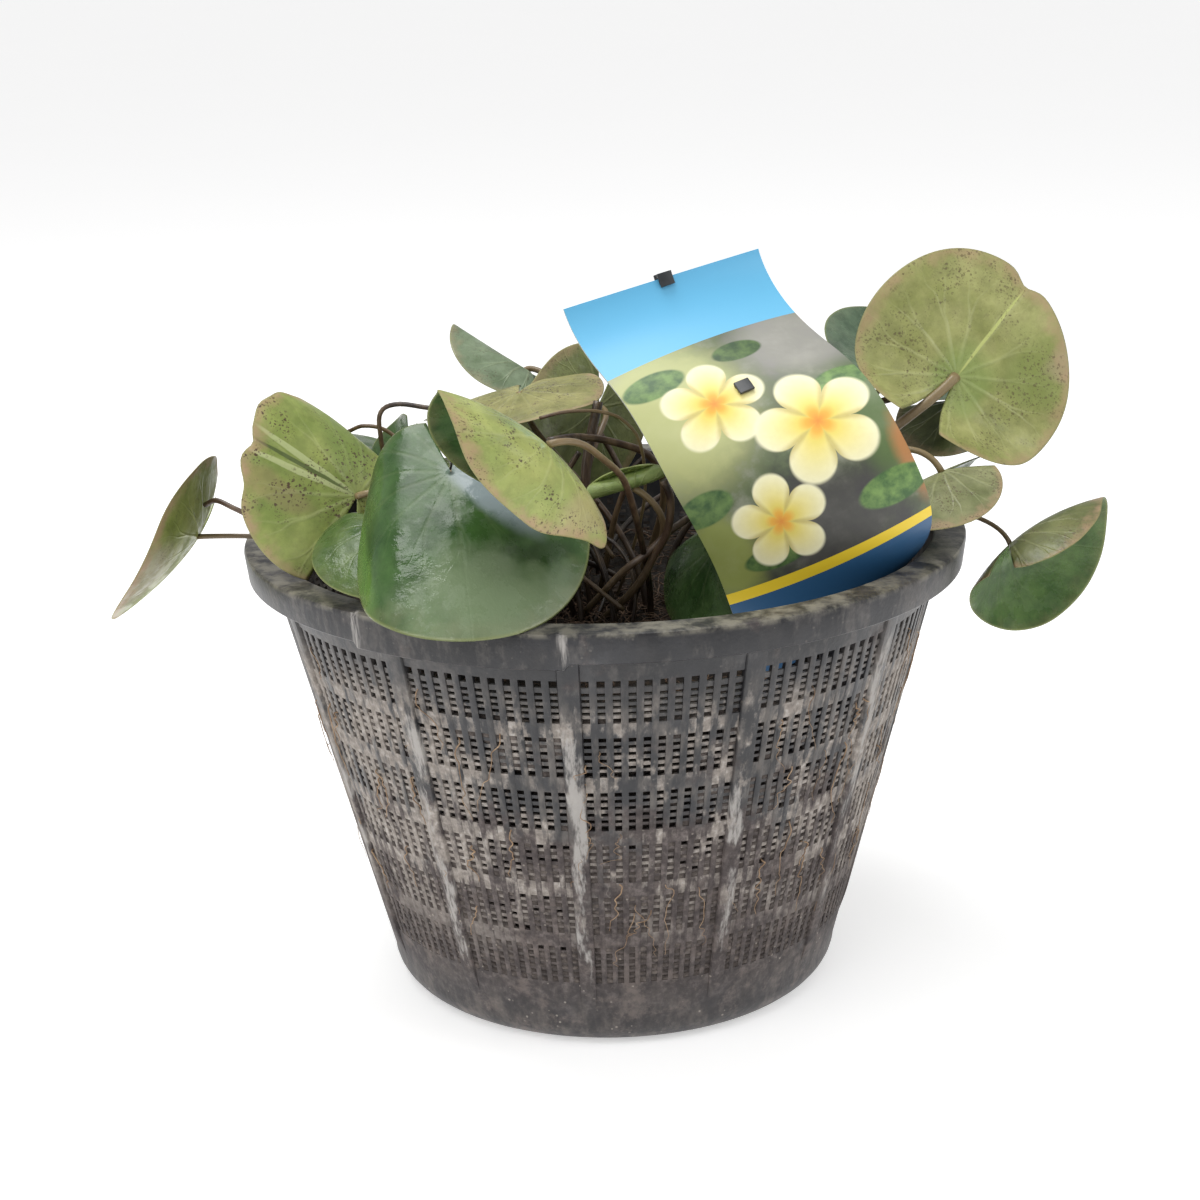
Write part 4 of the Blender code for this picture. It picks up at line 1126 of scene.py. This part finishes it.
def band(first, last, out, width, thickness, pieces=40):
    """A strip that follows the card at a distance in front of it, with rounded edges."""
    corner = min(width, thickness) * 0.3
    turn = np.linspace(0, math.pi / 2, 4)
    quarter = corner * np.stack([np.cos(turn), np.sin(turn)], 1)
    x, y = width / 2 - corner, thickness / 2 - corner
    loop = np.concatenate([quarter + (x, y), quarter[::-1] * (-1, 1) + (-x, y),
                           quarter * (-1, -1) + (-x, -y), quarter[::-1] * (1, -1) + (x, -y)])
    along = np.linspace(first, last, pieces)[:, None]
    points = card_point(loop[None, :, 0], along, out + loop[None, :, 1])
    ends = [card_point(0 * loop[None, :, 0], np.full((1, 1), at), out) for at in (first, last)]
    return patch(np.concatenate([ends[0], points, ends[1]]), wrap_columns=True, flip=True)


def make_stake():
    thickness, clip, bridge = 1.0 * MM, 0.8 * MM, 1.2 * MM
    behind = -(CARD_THICKNESS / 2 + 0.5 * MM + thickness / 2)
    before = CARD_THICKNESS / 2 + 0.5 * MM + clip / 2
    top = -1.5 * MM
    made = [band(top, CARD_LENGTH + STAKE_BELOW, behind, 5 * MM, thickness, 120)]
    for start in (top, SLOT_AT):
        made.append(band(start, start + 4.2 * MM, before, 4.6 * MM, clip, 12))
        made.append(band(start, start + bridge, (behind + before) / 2, 4.4 * MM, before - behind, 4))
    return made


# %% The print on the card
def card_finish():
    material, tree, shader = new_material("card_print", 0.42)
    place = node(tree, "SeparateXYZ", {0: node(tree, "UVMap", uv_map="pattern").outputs[0]})
    x = calc(tree, "MULTIPLY", calc(tree, "SUBTRACT", place.outputs["X"], 0.5), CARD_WIDTH / MM)
    y = calc(tree, "MULTIPLY", place.outputs["Y"], CARD_LENGTH / MM)
    flat = node(tree, "CombineXYZ", {"X": x, "Y": y}).outputs[0]

    cloud = noise(tree, flat, 0.07, 6, 0.6)
    ground = ramp(tree, cloud, (0.34, (0.035, 0.045, 0.030)), (0.50, (0.10, 0.13, 0.06)),
                  (0.66, (0.26, 0.27, 0.20)))
    picture = ground
    for cx, cy, wide, tall, tone, amount in (
            (-24, 44, 26, 28, (0.50, 0.52, 0.22), 0.85), (24, 36, 20, 16, (0.38, 0.36, 0.34), 0.7),
            (4, 96, 24, 18, (0.050, 0.042, 0.050), 0.8), (30, 74, 10, 22, (0.10, 0.16, 0.05), 0.8),
            (-28, 92, 10, 16, (0.30, 0.34, 0.08), 0.8), (33, 88, 5, 14, (0.62, 0.22, 0.08), 0.6)):
        away = node(tree, "VectorMath", {0: flat, 1: (cx, cy, 0)}, operation="SUBTRACT").outputs[0]
        away = node(tree, "VectorMath", {0: away, 1: (1 / wide, 1 / tall, 0)}, operation="MULTIPLY")
        away = node(tree, "VectorMath", {0: away.outputs[0]}, operation="LENGTH").outputs["Value"]
        away = calc(tree, "MULTIPLY_ADD", cloud, 0.9, away)
        picture = blend(tree, spread(tree, away, 1.75, 1.0, 0.0, amount), picture, tone)
    for cx, cy, wide, tall, tone in (
            (-22, 34, 10, 5, 0.8), (6, 33, 8, 4, 0.5), (26, 58, 9, 5, 0.9), (-27, 76, 9, 5, 0.7),
            (24, 94, 11, 5, 0.9), (-14, 98, 10, 4, 0.6)):
        away = node(tree, "VectorMath", {0: flat, 1: (cx, cy, 0)}, operation="SUBTRACT").outputs[0]
        away = node(tree, "VectorMath", {0: away, 1: (1 / wide, 1 / tall, 0)}, operation="MULTIPLY")
        away = node(tree, "VectorMath", {0: away.outputs[0]}, operation="LENGTH").outputs["Value"]
        leafy = ramp(tree, noise(tree, flat, 0.25, 4), (0.35, (0.05 * tone, 0.13 * tone, 0.035 * tone)),
                     (0.65, (0.20 * tone, 0.34 * tone, 0.09 * tone)))
        picture = blend(tree, spread(tree, away, 1.06, 0.90), picture, leafy)
    for cx, cy, size, turn in ((-10, 49, 15.5, 0.2), (13, 68, 18, 0.9), (-9, 89, 14, 0.5)):
        dx, dy = calc(tree, "SUBTRACT", x, cx), calc(tree, "SUBTRACT", y, cy)
        away = calc(tree, "SQRT", calc(tree, "ADD", calc(tree, "MULTIPLY", dx, dx),
                                       calc(tree, "MULTIPLY", dy, dy)))
        angle = calc(tree, "MULTIPLY_ADD", calc(tree, "ARCTAN2", dy, dx), 2.5, turn)
        lobe = calc(tree, "ABSOLUTE", calc(tree, "COSINE", angle))
        petal = calc(tree, "POWER", lobe, 0.55)
        share = calc(tree, "DIVIDE", away, calc(tree, "MULTIPLY_ADD", petal, size * 0.5, size * 0.5))
        shade = ramp(tree, share, (0.0, (0.76, 0.24, 0.02)), (0.20, (0.82, 0.42, 0.04)),
                     (0.34, (0.80, 0.66, 0.14)), (0.62, (0.86, 0.78, 0.34)), (0.98, (0.90, 0.87, 0.60)))
        fine = noise(tree, flat, 0.5, 4, 0.6)
        crease = calc(tree, "MULTIPLY", spread(tree, lobe, 0.55, 0.05), spread(tree, share, 0.15, 0.5))
        crease = calc(tree, "ADD", calc(tree, "MULTIPLY", crease, 0.65), calc(tree, "MULTIPLY", fine, 0.25))
        shade = blend(tree, crease, shade, (0.50, 0.40, 0.09))
        picture = blend(tree, spread(tree, share, 1.05, 0.96), picture, shade)
    sky = ramp(tree, calc(tree, "DIVIDE", y, 24.5), (0.0, (0.115, 0.43, 0.69)), (1.0, (0.14, 0.47, 0.72)))
    printed = blend(tree, calc(tree, "GREATER_THAN", y, 24.5), sky, picture)
    printed = blend(tree, calc(tree, "GREATER_THAN", y, 105.0), printed, (0.86, 0.62, 0.03))
    printed = blend(tree, calc(tree, "GREATER_THAN", y, 108.5), printed, (0.025, 0.10, 0.22))
    colour = blend(tree, calc(tree, "GREATER_THAN", place.outputs["X"], -0.5), (0.66, 0.67, 0.64), printed)
    finish_with(tree, shader, Base_Color=colour)
    return material


def stake_finish():
    material, tree, shader = new_material("stake_plastic", 0.4)
    finish_with(tree, shader, Base_Color=ramp(tree, noise(tree, object_place(tree), 160, 4),
                                              (0.35, (0.012, 0.014, 0.016)), (0.65, (0.030, 0.033, 0.036))))
    return material


settle(piece("printed_card", make_card(), card_finish(), 50), "label_card", "label")
settle(piece("card_stake", make_stake(), stake_finish(), 50), "stake_plastic", "label_stake")

# %% [markdown]
# ## Rootstock, loose stalks and fine roots
#
# In the middle the leaves rise from a short scaly rootstock. Among them lie cut and broken
# stalks, and thin red-brown roots wander over the soil. The roots are random walks with a
# fixed seed, smoothed, and kept on the soil's surface.

# %% Rootstock, loose stalks and roots
def make_rootstock():
    base = 119.5 * MM
    share = np.linspace(0, 1, 50)[:, None]
    angle = np.linspace(0, 2 * math.pi, 96, endpoint=False)[None, :]
    radius = 6.3 * MM * np.sqrt(np.clip(1 - share ** 3, 0, 1))
    points = polar(angle, radius, base + 6.6 * MM * share)
    scales = np.abs(np.sin(angle * 4 + share * 14)) * np.abs(np.sin(share * 14 - angle * 3))
    points *= 1 + (0.10 * scales + 0.05 * ripple(points, 0.004, 9))[..., None] * np.array((1, 1, 0))
    return [patch(points[::-1], wrap_columns=True, along=0.4, tint=0.3)]


def root_finish(name, dark, light):
    material, tree, shader = new_material(name, 0.8)
    shade = noise(tree, object_place(tree), 260, 5, 0.6)
    finish_with(tree, shader, Base_Color=ramp(tree, shade, (0.35, dark), (0.68, light)),
                Normal=bump(tree, shade, 0.3 * MM))
    return material


settle(piece("rootstock", make_rootstock(), root_finish("rootstock", (0.010, 0.007, 0.005), (0.075, 0.048, 0.030))),
       "crown", "crown")

LOOSE = {
    "upright": (1.5, 0.45, ((-1, -10, 183), (-3, -12, 175), (-5, -14, 165), (-6, -16, 154), (-8, -18, 142),
                            (-9, -16, 130), (-9, -12, 119))),
    "across": (1.1, 0.4, ((-16, -30, 176), (-7, -26, 176), (4, -22, 173), (14, -20, 168), (18, -15, 156),
                          (14, -9, 137), (6, -5, 119))),
    "curve": (1.2, 0.5, ((17, -45, 167), (19, -44, 161), (18, -42, 151), (14, -40, 143), (10, -38, 135),
                         (4, -34, 127), (-3, -28, 119))),
    "diagonal": (1.1, 0.5, ((26, -35, 154), (19, -38, 150), (12, -40, 144), (5, -41, 139), (-3, -36, 129),
                            (-10, -27, 119))),
    "short_a": (0.9, 0.5, ((-7, -20, 170), (-9, -20, 167), (-11, -20, 163), (-14, -18, 150), (-14, -14, 134),
                           (-10, -8, 119))),
    "short_b": (0.9, 0.5, ((12, -25, 169), (9, -25, 166), (7, -25, 162), (3, -22, 150), (0, -16, 134),
                           (-3, -8, 119))),
    "cream": (0.5, 0.9, ((-18, -40, 185), (-12, -38, 186), (-6, -36, 186), (0, -34, 185), (6, -32, 182),
                         (11, -29, 174), (12, -22, 156), (7, -14, 134), (2, -9, 119))),
    "loop": (0.7, 0.3, ((-42, -33, 186), (-51, -31, 187), (-59, -30, 188), (-64, -29, 186), (-65, -28, 180),
                        (-63, -24, 166), (-54, -15, 142), (-36, -6, 119))),
    "orange": (0.6, 0.8, ((-75, -20, 178), (-70, -22, 180), (-63, -22, 178), (-55, -18, 168),
                          (-44, -10, 146), (-30, -5, 119))),
    "far_second": (0.8, 0.6, ((-118, -25, 158), (-114, -28, 160), (-108, -31, 158), (-98, -31, 153),
                              (-80, -26, 146), (-56, -16, 133), (-34, -8, 119))),
}
loose = [tube(through(points, 30) * MM, radius * MM, 10, tint) for radius, tint, points in LOOSE.values()]
settle(piece("loose_stalks", loose, petiole_material), "stalk")


def make_roots(count, seed):
    rng = np.random.default_rng(seed)
    made = []
    for _ in range(count):
        angle = rng.uniform(-1, 1) * rng.choice((1.3, math.pi))
        radius = rng.uniform(15, 88) * MM
        heading = rng.uniform(0, 2 * math.pi) + np.cumsum(rng.normal(0, 0.35, 16))
        step = rng.uniform(0.8, 2.4) * MM
        flat = polar(angle, radius, 0.0)[:2] + np.cumsum(
            step * np.stack([np.cos(heading), np.sin(heading)], 1), axis=0)
        out = np.hypot(*flat.T)
        flat *= np.minimum(1, 92 * MM / out)[:, None]
        lift = 2.5 * MM * np.abs(np.sin(np.linspace(0, rng.uniform(2, 6), 16))) + 0.6 * MM
        path = np.column_stack([flat, soil_height(np.hypot(*flat.T)) + lift])
        thick = rng.uniform(0.10, 0.32) * MM * np.linspace(1, 0.4, 32)
        made.append(tube(through(path, 32), thick, 5, tint=rng.uniform(0.3, 0.8)))
    return made


def make_wall_roots(count, seed):
    """Thin roots that have grown out of the holes and hang down the outside of the wall."""
    rng = np.random.default_rng(seed)
    made = []
    for _ in range(count):
        top = rng.uniform(45, 122) * MM
        drop = np.cumsum(rng.uniform(0.2, 1.0, 14)) * rng.uniform(0.8, 3.4) * MM
        height = np.maximum(top - drop, 12 * MM)
        sideways = np.cumsum(rng.normal(0, 0.9, 14)) * MM
        angle = rng.uniform(-math.pi, math.pi) + sideways / wall_radius(height)
        stand = 0.35 * MM + 0.5 * MM * np.abs(np.sin(np.linspace(0, rng.uniform(1, 5), 14)))
        stand[0] = -1.5 * MM
        path = through(polar(angle, wall_radius(height) + stand, height), 40)
        made.append(tube(path, rng.uniform(0.10, 0.26) * MM * np.linspace(1, 0.4, 40), 5))
    return made


def make_tangle(count, seed):
    """Broken stalks that arch over each other in the middle of the plant."""
    rng = np.random.default_rng(seed)
    made = []
    for _ in range(count):
        side = rng.choice((-1, 1))
        foot = np.array((-16 + side * rng.uniform(6, 26), rng.uniform(-40, 30), 119))
        end = np.array((-16 - side * rng.uniform(2, 26), rng.uniform(-42, 40), rng.uniform(122, 160)))
        top = rng.uniform(14, 44)
        path = bezier((foot, foot + (rng.normal(0, 12), rng.normal(0, 6), top),
                       end + (side * rng.uniform(5, 22), rng.normal(0, 6), top * 0.4), end), 40)
        made.append(tube(path * MM, rng.uniform(0.5, 0.9) * MM, 9, tint=rng.uniform(-0.2, 0.35)))
    return made


settle(piece("broken_stalks", make_tangle(20, 21), petiole_material), "stalk")
settle(piece("fine_roots", make_roots(560, 11), root_finish("soil_root", (0.032, 0.019, 0.012), (0.15, 0.090, 0.052))),
       "crown")
fibre = through([(15, -67.5, 27), (16.5, -66.5, 21), (16, -66, 16)], 20) * MM
wall_roots = make_wall_roots(150, 31) + [tube(fibre, 0.3 * MM, 6)]
settle(piece("wall_roots", wall_roots, root_finish("wall_root", (0.17, 0.10, 0.055), (0.42, 0.29, 0.18))), "crown")
